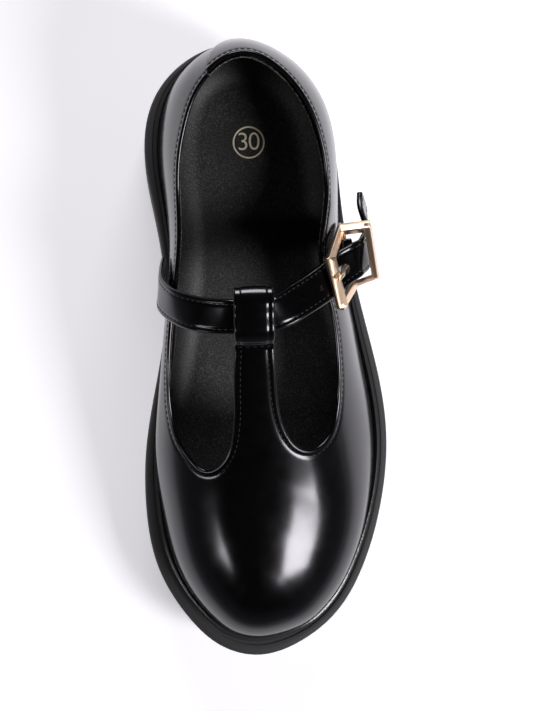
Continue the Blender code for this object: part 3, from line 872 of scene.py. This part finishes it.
def circle(sides):
    """Places round a circle of radius 1."""
    turn = np.linspace(0, 2 * math.pi, sides, endpoint=False)
    return np.column_stack([np.cos(turn), np.sin(turn)])


ring_rings = []
for narrower, lift in ((0, FOIL_SINK), (0, FOIL_THICK), (RING_WIDTH, FOIL_THICK), (RING_WIDTH, FOIL_SINK)):
    plan = RING_PLACE + (RING_RADIUS - narrower) * circle(RING_SIDES)
    ring_rings.append(np.column_stack([plan, sock_level(plan[:, 1]) + lift]))
size_ring = add_mesh("size_ring", *ring_solid(ring_rings, []), foil_finish)
settle(size_ring, "rose_brass")

number = bpy.data.curves.new("size_number", "FONT")
number.body = SIZE_NUMBER
number.size = SIZE_HEIGHT * MM
number.offset = SIZE_BOLD * MM
number.space_character = SIZE_SPACING
number.align_x = "CENTER"
number.align_y = "CENTER"
number.extrude = FOIL_THICK * MM
written = add_object("size_writing", number)
bpy.context.view_layer.update()
number_mesh = bpy.data.meshes.new_from_object(written.evaluated_get(bpy.context.evaluated_depsgraph_get()))
bpy.data.objects.remove(written)
for vertex in number_mesh.vertices:
    x, y, z = vertex.co / MM
    place = (x + RING_PLACE[0] - ORIGIN_X, y + RING_PLACE[1], z + sock_level(y + RING_PLACE[1]))
    vertex.co = Vector(place) * MM
number_mesh.materials.clear()
number_mesh.materials.append(foil_finish)
size_number = add_object("size_number", number_mesh)
settle(size_number, "rose_brass")


# Upper: vamp, quarters and bar of black high-shine leather with turned edges. It is pulled over the last and
# cemented into the sole. At the back the outer quarter laps over the inner one.
LEATHER = 1.45
STITCH_INSET = 2.3
STITCH_DIP = 0.11
STITCH_DIP_WIDTH = 0.55
EDGE_PUFF = 0.04
EDGE_PUFF_PLACE = 1.0
EDGE_PUFF_WIDTH = 0.7
TURNED_EDGE = LEATHER / 2
TURNED_STEPS = 5
EDGE_ROWS = (1.0, 1.35, 1.7, 2.0, 2.3, 2.6, 2.95, 3.4)
SPARSE_EDGE_ROWS = (4.1, 5.2)
LAP_STEP = 1.1
LAP_SOFTNESS = 0.45
LAP_FADE_START = 40.0
LAP_FADE_RUN = 45.0
LAP_HEIGHTS = (34.0, 77.0)
LAP_ROUNDS = (-0.14, 0.10)
LAP_PLACES = 110
LAP_ROWS = (-1.6, -0.9, -0.45, -0.22, 0.0, 0.22, 0.45, 0.9, 1.6)
LAP_TOP = 1.2
LAP_EDGE = (
    # height, x
    (30.0, -1.2),
    (50.0, -1.4),
    (56.0, -4.0),
    (62.0, -7.9),
    (70.0, -11.9),
    (75.0, -12.7),
    (82.0, -12.9),
)
UPPER_FOOT_POINTS = 420
UPPER_STEP = 1.9
LEATHER_SHARP = math.radians(60)

patent = Finish("black_shine_leather", IOR=1.5, Specular_Tint=(0.95, 0.93, 1.0, 1.0))
patent_haze = patent.noise(220.0, 3.0)
patent_pull = patent.noise(38.0, 2.0)
patent_finish = patent.set(
    Base_Color=patent.mix(patent_haze, (0.0008, 0.0008, 0.001), (0.0022, 0.0022, 0.0026)),
    Roughness=0.13 + 0.07 * patent_haze,
    Normal=patent.bump(patent_pull, 0.25, 0.25),
)

lap_x = through(LAP_EDGE, 1)


def lap_places(shift):
    """Places of the flat pattern beside the back lap's edge."""
    heights = np.linspace(*LAP_HEIGHTS, LAP_PLACES)
    wanted = lap_x(heights) + shift

    def before(at):
        return LAST.point(at, LAST.up_at_height(at, heights))[:, 0] < wanted

    at = halved(*[np.full(LAP_PLACES, bound) for bound in LAP_ROUNDS], before)
    return LAST.to_pattern(at, LAST.up_at_height(at, heights))


def eased(value):
    value = np.clip(value, 0, 1)
    return value * value * (3 - 2 * value)


def leather_relief(points, edge):
    """How far the leather stands off the form: turned edge, stitch channel and back lap."""
    away = nearest(edge, points)
    dip = np.exp(-(((away - STITCH_INSET) / STITCH_DIP_WIDTH) ** 2))
    puff = np.exp(-(((away - EDGE_PUFF_PLACE) / EDGE_PUFF_WIDTH) ** 2))
    lap = eased((points[:, 0] - lap_x(points[:, 2])) / LAP_SOFTNESS + 0.5)
    fade = eased((points[:, 1] - LAP_FADE_START) / LAP_FADE_RUN)
    return EDGE_PUFF * puff - STITCH_DIP * dip + LAP_STEP * lap * fade


turned = into_leather(TURNED_EDGE)
edge_rows = [into_leather(distance) for distance in EDGE_ROWS]
edge_rows += [into_leather(distance)[::2] for distance in SPARSE_EDGE_ROWS]
lap_end = into_leather(LAP_TOP)
lap_rows = [lap_places(shift) for shift in LAP_ROWS]
lap_rows = [row[~enclosed(row, lap_end)] for row in lap_rows]
upper_flat, upper_triangles = pattern_sheet(turned, edge_rows, UPPER_FOOT_POINTS, UPPER_STEP, lap_rows)
upper_form = LAST.surface(upper_flat)
upper_normals = LAST.normals(upper_flat)
edge_form = LAST.surface(edge_flat)
relief = leather_relief(upper_form, edge_form)
upper_outside = upper_form + upper_normals * relief[:, None]
upper_inside = upper_form + upper_normals * (relief - LEATHER)[:, None]
upper_wall = shell(upper_outside, upper_inside, upper_triangles, UPPER_FOOT_POINTS, EDGE_POINTS, TURNED_STEPS)
upper = add_mesh("upper_leather", *upper_wall, patent_finish)
upper.data.set_sharp_from_angle(angle=LEATHER_SHARP)
settle(upper, "patent_leather", "upper")


# Lining: black pebbled leather inside the whole upper. It is sewn in round the opening, with its edge just
# under the turned edge of the outer leather, and its foot is cemented in with the upper.
LINING_START = LEATHER + 0.05
LINING_END = WALL + 0.1
LINING_EDGE = 2.2
LINING_EDGE_STEPS = 2
LINING_ROWS = (3.4, 4.8)
LINING_FOOT_POINTS = 300
LINING_STEP = 2.6
LINING_DARK = (0.008, 0.008, 0.008)
# colour of the lining's painted glints
LINING_PAINTED_GLINT = (0.36, 0.34, 0.30)

lining_finish = grained("pebbled_lining", LINING_DARK, LINING_PAINTED_GLINT, grain_scale=1150.0, wear_and_glint_scale=120.0,
                        smoothest=0.36, depth=0.35, strength=0.8)
lining_edge = into_leather(LINING_EDGE)[::2]
lining_rows = [into_leather(distance)[::2] for distance in LINING_ROWS]
lining_flat, lining_triangles = pattern_sheet(lining_edge, lining_rows, LINING_FOOT_POINTS, LINING_STEP)
lining_form = LAST.surface(lining_flat)
lining_normals = LAST.normals(lining_flat)
lining_outside = lining_form - lining_normals * LINING_START
lining_inside = lining_form - lining_normals * LINING_END
for sheet in (lining_outside, lining_inside):
    sheet[:, 2] = np.maximum(sheet[:, 2], rim_height(sheet[:, 1]) + GAP)
lining_wall = shell(lining_outside, lining_inside, lining_triangles, LINING_FOOT_POINTS, len(lining_edge),
                    LINING_EDGE_STEPS)
lining_piece = add_mesh("upper_lining", *lining_wall, lining_finish)
lining_piece.data.set_sharp_from_angle(angle=LEATHER_SHARP)
settle(lining_piece, "lining_leather")


# Stitching: black waxed thread, sewn through leather and lining in one row beside the opening's turned edge.
# Each stitch lies in the channel that the thread pulls down.
STITCH_PITCH = 2.0
STITCH_LENGTH = 1.4
THREAD_RADIUS = 0.19
THREAD_LIFT = 0.04

thread = Finish("waxed_thread", IOR=1.5)
thread_twist = thread.noise(2400.0, 2.0)
thread_finish = thread.set(
    Base_Color=thread.mix(thread_twist, (0.002, 0.002, 0.002), (0.005, 0.005, 0.005)),
    Roughness=0.5 + 0.15 * thread_twist,
)


def stitch_tree():
    """Nodes that lay stitches end to end along a line of points, flat on the surface below."""
    tree = bpy.data.node_groups.new("stitches", "GeometryNodeTree")
    face = tree.interface
    face.new_socket("Geometry", in_out="INPUT", socket_type="NodeSocketGeometry")
    for name, value in (("Pitch", STITCH_PITCH), ("Length", STITCH_LENGTH), ("Radius", THREAD_RADIUS)):
        face.new_socket(name, in_out="INPUT", socket_type="NodeSocketFloat").default_value = value * MM
    face.new_socket("Geometry", in_out="OUTPUT", socket_type="NodeSocketGeometry")
    sew = Nodes(tree)

    def given(name):
        return sew.node("NodeGroupInput", {}, {}, name)

    curve = sew.node("GeometryNodeMeshToCurve", {}, {"Mesh": given("Geometry")})
    pitch = {"Curve": curve, "Length": given("Pitch")}
    spaced = sew.node("GeometryNodeResampleCurve", {"mode": "LENGTH"}, pitch)
    facing = sew.node("GeometryNodeInputNamedAttribute", {"data_type": "FLOAT_VECTOR"}, {"Name": "facing"})
    tangent = sew.node("GeometryNodeInputTangent", {}, {})
    along = sew.node("FunctionNodeAlignRotationToVector", {"axis": "X"}, {"Vector": tangent})
    upright = {"Rotation": along, "Vector": facing}
    laid = sew.node("FunctionNodeAlignRotationToVector", {"axis": "Z", "pivot_axis": "X"}, upright)
    ball = sew.node("GeometryNodeMeshUVSphere", {}, {"Segments": 8, "Rings": 6, "Radius": 1.0})
    extent = {"X": 0.5 * given("Length"), "Y": given("Radius"), "Z": given("Radius")}
    size = sew.node("ShaderNodeCombineXYZ", {}, extent)
    one_each = {"Points": spaced, "Instance": ball, "Rotation": laid, "Scale": size}
    placed = sew.node("GeometryNodeInstanceOnPoints", {}, one_each)
    real = sew.node("GeometryNodeRealizeInstances", {}, {"Geometry": placed})
    smooth = sew.node("GeometryNodeSetShadeSmooth", {}, {"Geometry": real})
    painted = sew.node("GeometryNodeSetMaterial", {}, {"Geometry": smooth, "Material": thread_finish})
    sew.fill(tree.nodes.new("NodeGroupOutput").inputs["Geometry"], painted)
    return tree


stitches = stitch_tree()


def stitch_row(name, points, facing, closed):
    """A row of stitches along places on a surface that looks the given ways."""
    count = len(points)
    links = [(i, i + 1) for i in range(count - 1)] + ([(count - 1, 0)] if closed else [])
    mesh = bpy.data.meshes.new(name)
    mesh.from_pydata(((np.asarray(points) - (ORIGIN_X, 0, 0)) * MM).tolist(), links, [])
    ways = mesh.attributes.new("facing", "FLOAT_VECTOR", "POINT")
    ways.data.foreach_set("vector", np.asarray(facing, np.float32).ravel())
    piece = add_object(name, mesh)
    sewn = piece.modifiers.new("stitches", "NODES")
    sewn.node_group = stitches
    for item in stitches.interface.items_tree:
        if item.name == "Pitch":
            sewn[item.identifier] = STITCH_PITCH * MM
    bake(piece)
    settle(piece, "patent_leather")


collar_flat = into_leather(STITCH_INSET)
collar_form = LAST.surface(collar_flat)
collar_ways = LAST.normals(collar_flat)
collar_lift = leather_relief(collar_form, edge_form) + THREAD_LIFT
stitch_row("collar_stitches", collar_form + collar_ways * collar_lift[:, None], collar_ways, True)


# Loop at the end of the bar: the bar's own high-shine leather, folded back over the cross strap.
# Its end is sewn down in front of the strap by one short row of stitches.
LOOP_THICK = 1.4
LOOP_WIDTH = 13.2
LOOP_CROWN = 0.5
LOOP_CHANNEL = 1.9
LOOP_DIP = 0.16
LOOP_STEPS = 90
HEM_STEP = LOOP_STEPS - 6
HEM_PLACES = 24
HEM_LIFT = 0.05
CHANNEL_WIDTH = 0.5
BAND_EDGE_TURN = 1.45
BAND_EDGE_STEPS = 11
BAND_TOP_STEPS = 37
BAND_BASE_STEPS = 9
LOOP_ROUTE = (
    # y, z
    (19.1, 78.8),
    (19.9, 80.4),
    (19.8, 81.7),
    (18.4, 82.9),
    (15.4, 83.6),
    (11.4, 82.4),
    (5.2, 81.0),
    (3.2, 79.4),
    (2.0, 77.8),
    (0.2, 76.8),
)


def open_spline(rows, count):
    """Places spread along the smooth curve through the rows, every column treated alike."""
    rows = np.array(rows, float)
    gaps = np.linalg.norm(np.diff(rows[:, :3], axis=0), axis=1)
    travel = np.concatenate([[0], np.cumsum(gaps)])
    table = np.column_stack([travel, rows])
    spread = np.linspace(0, travel[-1], count)
    return np.column_stack([through(table, k + 1)(spread) for k in range(rows.shape[1])])


def carried(path, facing):
    """Directions across and out of a band that runs along a path."""
    along = np.gradient(path, axis=0)
    along /= np.linalg.norm(along, axis=1)[:, None]
    out = facing - along * (facing * along).sum(axis=1)[:, None]
    out /= np.linalg.norm(out, axis=1)[:, None]
    return np.cross(along, out), out


def sweep(path, facing, profile, spread=1.0, swell=1.0):
    """Places and faces of a profile of (across, outward) places carried along a path."""
    across, out = carried(path, facing)
    swell = np.broadcast_to(swell, len(path))
    spread = swell * spread
    rings = [p + np.outer(wide * profile[:, 0], a) + np.outer(high * profile[:, 1], n)
             for p, a, n, wide, high in zip(path, across, out, spread, swell)]
    return ring_solid(rings, lid_of(profile))


def band_section(width, thick, channel=0.0, dip=0.0, crown=0.0):
    """Leather band's section: rounded edges and a stitch channel beside each edge of its outer face."""
    half, deep = width / 2, thick / 2
    turns = np.linspace(-BAND_EDGE_TURN, BAND_EDGE_TURN, BAND_EDGE_STEPS)
    edge = [(half - deep + deep * math.cos(turn), deep * math.sin(turn)) for turn in turns]
    flat = np.linspace(half - deep, deep - half, BAND_TOP_STEPS)[1:-1]
    inside = (half - channel) - np.abs(flat)
    top = deep - dip * np.exp(-((inside / CHANNEL_WIDTH) ** 2))
    outer = edge + list(zip(flat, top)) + [(-x, y) for x, y in reversed(edge)]
    base = [(x, -deep) for x in np.linspace(deep - half, half - deep, BAND_BASE_STEPS)[1:-1]]
    section = np.array(outer + base)
    section[:, 1] -= crown * (2 * section[:, 0] / width) ** 2
    return section


loop_path = open_spline([(CREST_X, y, z) for y, z in LOOP_ROUTE], LOOP_STEPS)
loop_turn = np.gradient(loop_path, axis=0)
loop_facing = np.column_stack([np.zeros(LOOP_STEPS), loop_turn[:, 2], -loop_turn[:, 1]])
loop_section = band_section(LOOP_WIDTH, LOOP_THICK, LOOP_CHANNEL, LOOP_DIP, LOOP_CROWN)
bar_loop = add_mesh("bar_loop", *sweep(loop_path, loop_facing, loop_section), patent_finish)
bar_loop.data.set_sharp_from_angle(angle=LEATHER_SHARP)
settle(bar_loop, "patent_leather", "t_bar_loop")

loop_across, loop_out = carried(loop_path, loop_facing)
hem_reach = LOOP_WIDTH / 2 - LOOP_CHANNEL
hem_wide = np.linspace(-hem_reach, hem_reach, HEM_PLACES)
hem_lift = LOOP_THICK / 2 + HEM_LIFT - LOOP_CROWN * (2 * hem_wide / LOOP_WIDTH) ** 2
hem_out = np.broadcast_to(loop_out[HEM_STEP], (HEM_PLACES, 3))
hem_places = loop_path[HEM_STEP] + np.outer(hem_wide, loop_across[HEM_STEP]) + hem_out * hem_lift[:, None]
stitch_row("loop_hem_stitches", hem_places, hem_out, False)


# Cross strap: doubled high-shine leather with a row of stitches along each edge, sewn to the inner quarter.
# It runs through the bar's loop and the buckle, and its punched free end hangs outside the outer quarter.
STRAP_WIDTH = 11.6
STRAP_THICK = 2.0
STRAP_CHANNEL = 1.7
STRAP_DIP = 0.14
STRAP_SHARP = math.radians(50)
STRAP_ROUTE = (
    # x, y, z, and the way the outer face looks
    (-28.7, 27.6, 41.0, -1.0, 0.0, 0.05),
    (-29.5, 24.4, 48.5, -1.0, 0.0, 0.05),
    (-30.0, 19.8, 58.5, -1.0, 0.0, 0.3),
    (-26.7, 15.8, 67.2, -0.8, -0.15, 0.6),
    (-18.5, 12.3, 75.2, -0.4, -0.08, 0.9),
    (-9.0, 11.1, 79.2, -0.12, -0.27, 0.96),
    (-1.0, 11.3, 80.0, 0.0, -0.27, 0.96),
    (7.0, 12.2, 79.7, 0.0, -0.16, 0.98),
    (15.0, 16.2, 76.4, 0.12, 0.1, 0.98),
    (23.0, 21.0, 71.8, 0.3, 0.12, 0.95),
    (30.0, 26.0, 67.9, 0.28, 0.05, 0.96),
    (34.9, 28.8, 65.9, 0.4, -0.1, 0.9),
    (37.4, 30.3, 63.0, 0.65, -0.15, 0.75),
    (39.2, 32.7, 59.2, 0.75, -0.15, 0.65),
    (40.5, 35.3, 55.2, 0.85, -0.1, 0.5),
    (40.9, 38.6, 51.0, 0.93, 0.0, 0.3),
    (40.5, 42.4, 47.6, 0.95, 0.05, 0.3),
    (40.2, 46.4, 45.0, 0.95, 0.0, 0.32),
    (40.5, 50.4, 43.2, 0.95, -0.08, 0.32),
)
STRAP_STEPS = 260
STRAP_SEWN = slice(6, STRAP_STEPS - 4)
STRAP_THREAD_SINK = 0.1
HOLE_RADIUS = 0.95
HOLE_SIDES = 24
HOLE_REACH = 2.5
HOLE_TRAVEL = (54.0, 77.5)
PRONG_HOLE = 1.8
PRONG_SIDES = 16
PRONG_ROUTE = (
    # x, y, z
    (32.5, 28.0, 64.4),
    (31.2, 26.8, 65.3),
    (29.4, 24.4, 71.0),
    (28.6, 23.1, 75.6),
    (27.0, 21.6, 77.2),
)
ROD_FACING = (0.3, 0.5, 0.8)


def rod(name, route, radius, sides, steps, *finishes, taper=1.0):
    """Round bar along a smooth route."""
    path = open_spline(route, steps)
    facing = np.broadcast_to(ROD_FACING, path.shape)
    return add_mesh(name, *sweep(path, facing, radius * circle(sides), swell=taper), *finishes)


strap_route = open_spline(STRAP_ROUTE, STRAP_STEPS)
strap_path, strap_facing = strap_route[:, :3], strap_route[:, 3:]
strap_section = band_section(STRAP_WIDTH, STRAP_THICK, STRAP_CHANNEL, STRAP_DIP)
strap = add_mesh("cross_strap", *sweep(strap_path, strap_facing, strap_section), patent_finish)
strap_across, strap_out = carried(strap_path, strap_facing)
strap_travel = np.concatenate([[0], np.cumsum(np.linalg.norm(np.diff(strap_path, axis=0), axis=1))])
hole_cutters = [rod("prong_cutter", PRONG_ROUTE[1:3], PRONG_HOLE, PRONG_SIDES, 2)]
for travel in HOLE_TRAVEL:
    k = int(np.searchsorted(strap_travel, travel))
    ends = [strap_path[k] - HOLE_REACH * strap_out[k], strap_path[k] + HOLE_REACH * strap_out[k]]
    hole_cutters.append(rod("hole_cutter", ends, HOLE_RADIUS, HOLE_SIDES, 2))
combine(strap, hole_cutters, "DIFFERENCE")
strap.data.set_sharp_from_angle(angle=STRAP_SHARP)
settle(strap, "patent_leather", "cross_strap")
strap_face = strap_path + strap_out * (STRAP_THICK / 2 - STRAP_THREAD_SINK)
for label, side in (("toe", 1), ("heel", -1)):
    places = strap_face + strap_across * side * (STRAP_WIDTH / 2 - STRAP_CHANNEL)
    stitch_row(f"strap_stitches_{label}", places[STRAP_SEWN], strap_out[STRAP_SEWN], False)


# Buckle: a bent frame of flat rose-gold bars with a round middle bar, and a pin that goes through the strap.
# A leather tab sewn to the outer quarter is looped round the middle bar.
FRAME_CORNERS = (
    # x, y, z, round the frame from the instep side's heel corner
    (25.1, 28.4, 74.4),
    (30.3, 39.1, 62.2),
    (39.2, 39.8, 64.1),
    (40.8, 22.9, 66.7),
    (34.3, 20.8, 62.2),
    (28.4, 13.6, 73.6),
)
FRAME_BARS = (
    # the way the broad face looks, width, thickness, each bar from its corner to the next
    (0.55, 0.3, 0.75, 2.6, 1.8),
    (0.1, 0.55, 0.83, 3.4, 2.4),
    (0.9, 0.1, 0.4, 3.0, 2.0),
    (0.0, -0.9, 0.35, 2.0, 1.5),
    (0.5, -0.3, 0.8, 3.0, 1.8),
    (0.32, 0.0, 0.95, 3.4, 2.2),
)
FRAME_LAP = 0.9
FRAME_SHARP = math.radians(35)
BAR_EASE = 0.3
EASE_SEGMENTS = 3
MIDDLE_BAR = 1.1
MIDDLE_SIDES = 20
PIN_RADIUS = 0.8
PIN_STEPS = 48
PIN_TAPER = (
    # share of the length, share of the radius
    (0.0, 1.0),
    (0.7, 1.0),
    (0.94, 0.75),
    (1.0, 0.3),
)
TAB_WIDTH = 5.2
TAB_THICK = 1.3
TAB_STEPS = 90
TAB_ROUTE = (
    # out from the bar, up from the bar, towards the heel, width
    (2.7, -17.5, 5.6, 14.0),
    (1.1, -11.0, 5.0, 12.5),
    (-1.1, -5.5, 4.0, 9.0),
    (-2.4, -1.0, 3.2, 5.2),
    (-1.5, 1.5, 3.2, 5.2),
    (0.2, 2.15, 3.2, 5.2),
    (1.7, 1.3, 3.2, 5.2),
    (2.1, -0.5, 3.2, 5.2),
    (1.2, -2.0, 3.2, 5.2),
)

gold = Finish("rose_gold_plate", Metallic=1.0)
gold_brush = gold.noise(700.0, 3.0)
gold_tone = gold.noise(160.0, 2.0)
gold_finish = gold.set(
    Base_Color=gold.mix(gold_tone, (0.90, 0.65, 0.47), (0.95, 0.73, 0.56)),
    Roughness=0.30 + 0.1 * gold_brush,
    Normal=gold.bump(gold_brush, 0.03, 0.3),
)


def flat_bar(start, end, facing, width, thick):
    """Straight bar with eased edges between two corners, run on past both."""
    way = (end - start) / np.linalg.norm(end - start)
    path = np.array([start - FRAME_LAP * way, end + FRAME_LAP * way])
    half, deep = width / 2, thick / 2
    section = np.array([(half, -deep), (half, deep), (-half, deep), (-half, -deep)])
    bar = add_mesh("frame_bar", *sweep(path, np.broadcast_to(facing, path.shape), section), gold_finish)
    eased_edge = bar.modifiers.new("eased_edge", "BEVEL")
    eased_edge.width = BAR_EASE * MM
    eased_edge.segments = EASE_SEGMENTS
    eased_edge.limit_method = "ANGLE"
    bake(bar)
    return bar


corners = np.array(FRAME_CORNERS)
heel_end, toe_end = corners[1], corners[4]
frame_bars = []
for start, end, (*facing, width, thick) in zip(corners, np.roll(corners, -1, axis=0), FRAME_BARS):
    frame_bars.append(flat_bar(start, end, facing, width, thick))
frame_bars.append(rod("middle_bar", [heel_end, toe_end], MIDDLE_BAR, MIDDLE_SIDES, 2, gold_finish))
buckle = frame_bars.pop(0)
buckle.name = "buckle_frame"
combine(buckle, frame_bars, "UNION")
buckle.data.set_sharp_from_angle(angle=FRAME_SHARP)
settle(buckle, "rose_brass", "buckle_frame")

pin_taper = np.interp(np.linspace(0, 1, PIN_STEPS), *zip(*PIN_TAPER))
pin = rod("buckle_pin", PRONG_ROUTE, PIN_RADIUS, PRONG_SIDES, PIN_STEPS, gold_finish, taper=pin_taper)
settle(pin, "rose_brass", "buckle_prong")

bar_way = (heel_end - toe_end) / np.linalg.norm(heel_end - toe_end)
bar_out = np.cross(bar_way, (0, 0, 1))
tab_middle = (heel_end + toe_end) / 2
tab_rows = [(*(tab_middle + d * bar_out + s * bar_way + (0, 0, h)), width) for d, h, s, width in TAB_ROUTE]
tab_path = open_spline(tab_rows, TAB_STEPS)
tab_facing = np.cross(bar_way, np.gradient(tab_path[:, :3], axis=0))
tab_section = band_section(TAB_WIDTH, TAB_THICK)
tab_spread = tab_path[:, 3] / TAB_WIDTH
tab = add_mesh("buckle_tab", *sweep(tab_path[:, :3], tab_facing, tab_section, tab_spread), patent_finish)
settle(tab, "patent_leather", "buckle_tab")


# Studio: a floor that glows white under the shoe, with a painted pool of light in its glow and colour that
# falls off into grey, and a dim room round it. One large soft window stands at the outer front, a narrow one
# at the inner front and a low one behind the heel.
FLOOR_SIZE = 6.0
FLOOR_GLOW = 0.45
POOL_INSIDE = 0.12
POOL_OUTSIDE = 0.42
POOL_SCALE = (1.25, 1.0, 1.0)
WALL_TONE = (0.13, 0.128, 0.138)
CEILING_TONE = (0.014, 0.014, 0.015)
CEILING_START = 0.45
CAMERA_PLACE = (-37.4 - ORIGIN_X, 0.65, 600.0)
CAMERA_AIM = (0.0, -2.0, 40.0)
CAMERA_ROLL = 2.2
PHOTO_FOCAL = 1377.0
PHOTO_HEIGHT = 711
ENLARGED = 1.18
SENSOR = 36.0

floor_paint = Finish("glowing_floor_painted_pool", Roughness=0.9, Specular_IOR_Level=0.1, Emission_Strength=FLOOR_GLOW)
floor_place = {"Vector": floor_paint.place(), "Scale": POOL_SCALE}
floor_spread = floor_paint.node("ShaderNodeMapping", {}, floor_place)
floor_far = floor_paint.node("ShaderNodeVectorMath", {"operation": "LENGTH"}, {0: floor_spread}, "Value")
# Painted pool of light: the floor's glow and colour fade from white near the shoe to grey further out.
painted_pool_fade = floor_paint.above(floor_far, POOL_INSIDE, POOL_OUTSIDE)
floor_finish = floor_paint.set(
    Base_Color=floor_paint.mix(painted_pool_fade, (0.89, 0.87, 0.91), (0.26, 0.25, 0.27)),
    Emission_Color=floor_paint.mix(painted_pool_fade, (1.0, 0.98, 1.03), (0.12, 0.118, 0.124)),
)
floor_mesh = bpy.data.meshes.new("floor")
floor_corners = [(x * FLOOR_SIZE / 2, y * FLOOR_SIZE / 2, 0) for x, y in ((-1, -1), (1, -1), (1, 1), (-1, 1))]
floor_mesh.from_pydata(floor_corners, [], [(0, 1, 2, 3)])
floor_mesh.materials.append(floor_finish)
floor = add_object("floor", floor_mesh)

SOFTBOXES = (
    # name, place, place that it faces, turn about its own axis, width, length, power
    ("outer_window", (0.778, -0.496, 0.932), (0.01, -0.055, 0.05), -58.0, 0.46, 0.36, 12.0),
    ("inner_strip", (-0.955, -0.494, 0.75), (-0.02, -0.05, 0.05), -39.0, 0.10, 0.54, 1.8),
    ("back_strip", (0.04, 1.12, 0.65), (0.0, 0.0, 0.0), 0.0, 0.8, 0.3, 10.0),
)
for name, spot, target, turn, width, length, power in SOFTBOXES:
    lamp = bpy.data.lights.new(name, "AREA")
    lamp.shape = "RECTANGLE"
    lamp.size = width
    lamp.size_y = length
    lamp.energy = power
    holder = add_object(name, lamp)
    holder.location = spot
    aimed = (Vector(spot) - Vector(target)).to_track_quat("Z", "Y")
    holder.rotation_euler = (aimed @ Quaternion((0, 0, 1), math.radians(turn))).to_euler()

world = bpy.data.worlds.new("studio")
world.use_nodes = True
sky = Nodes(world.node_tree)
sky_way = sky.node("ShaderNodeTexCoord", {}, {}, "Generated")
sky_up = sky.node("ShaderNodeSeparateXYZ", {}, {0: sky_way}, "Z")
sky_share = sky.node("ShaderNodeMapRange", {}, {"Value": sky_up, "From Max": CEILING_START})
backdrop = sky.tree.nodes["Background"].inputs["Color"]
sky.fill(backdrop, sky.mix(sky_share, WALL_TONE, CEILING_TONE))
bpy.context.scene.world = world
bpy.context.scene.view_settings.view_transform = "Standard"

lens = bpy.data.cameras.new("camera")
lens.sensor_fit = "VERTICAL"
lens.sensor_height = SENSOR
lens.lens = PHOTO_FOCAL * ENLARGED * SENSOR / PHOTO_HEIGHT
camera = add_object("camera", lens)
place = Vector(CAMERA_PLACE) * MM
sight = (Vector(CAMERA_AIM) * MM - place).normalized()
roll = math.radians(CAMERA_ROLL)
head = Vector((math.sin(roll), math.cos(roll), 0.0))
side = sight.cross(head).normalized()
head = side.cross(sight)
camera.matrix_world = Matrix.Translation(place) @ Matrix((side, head, -sight)).transposed().to_4x4()
bpy.context.scene.camera = camera
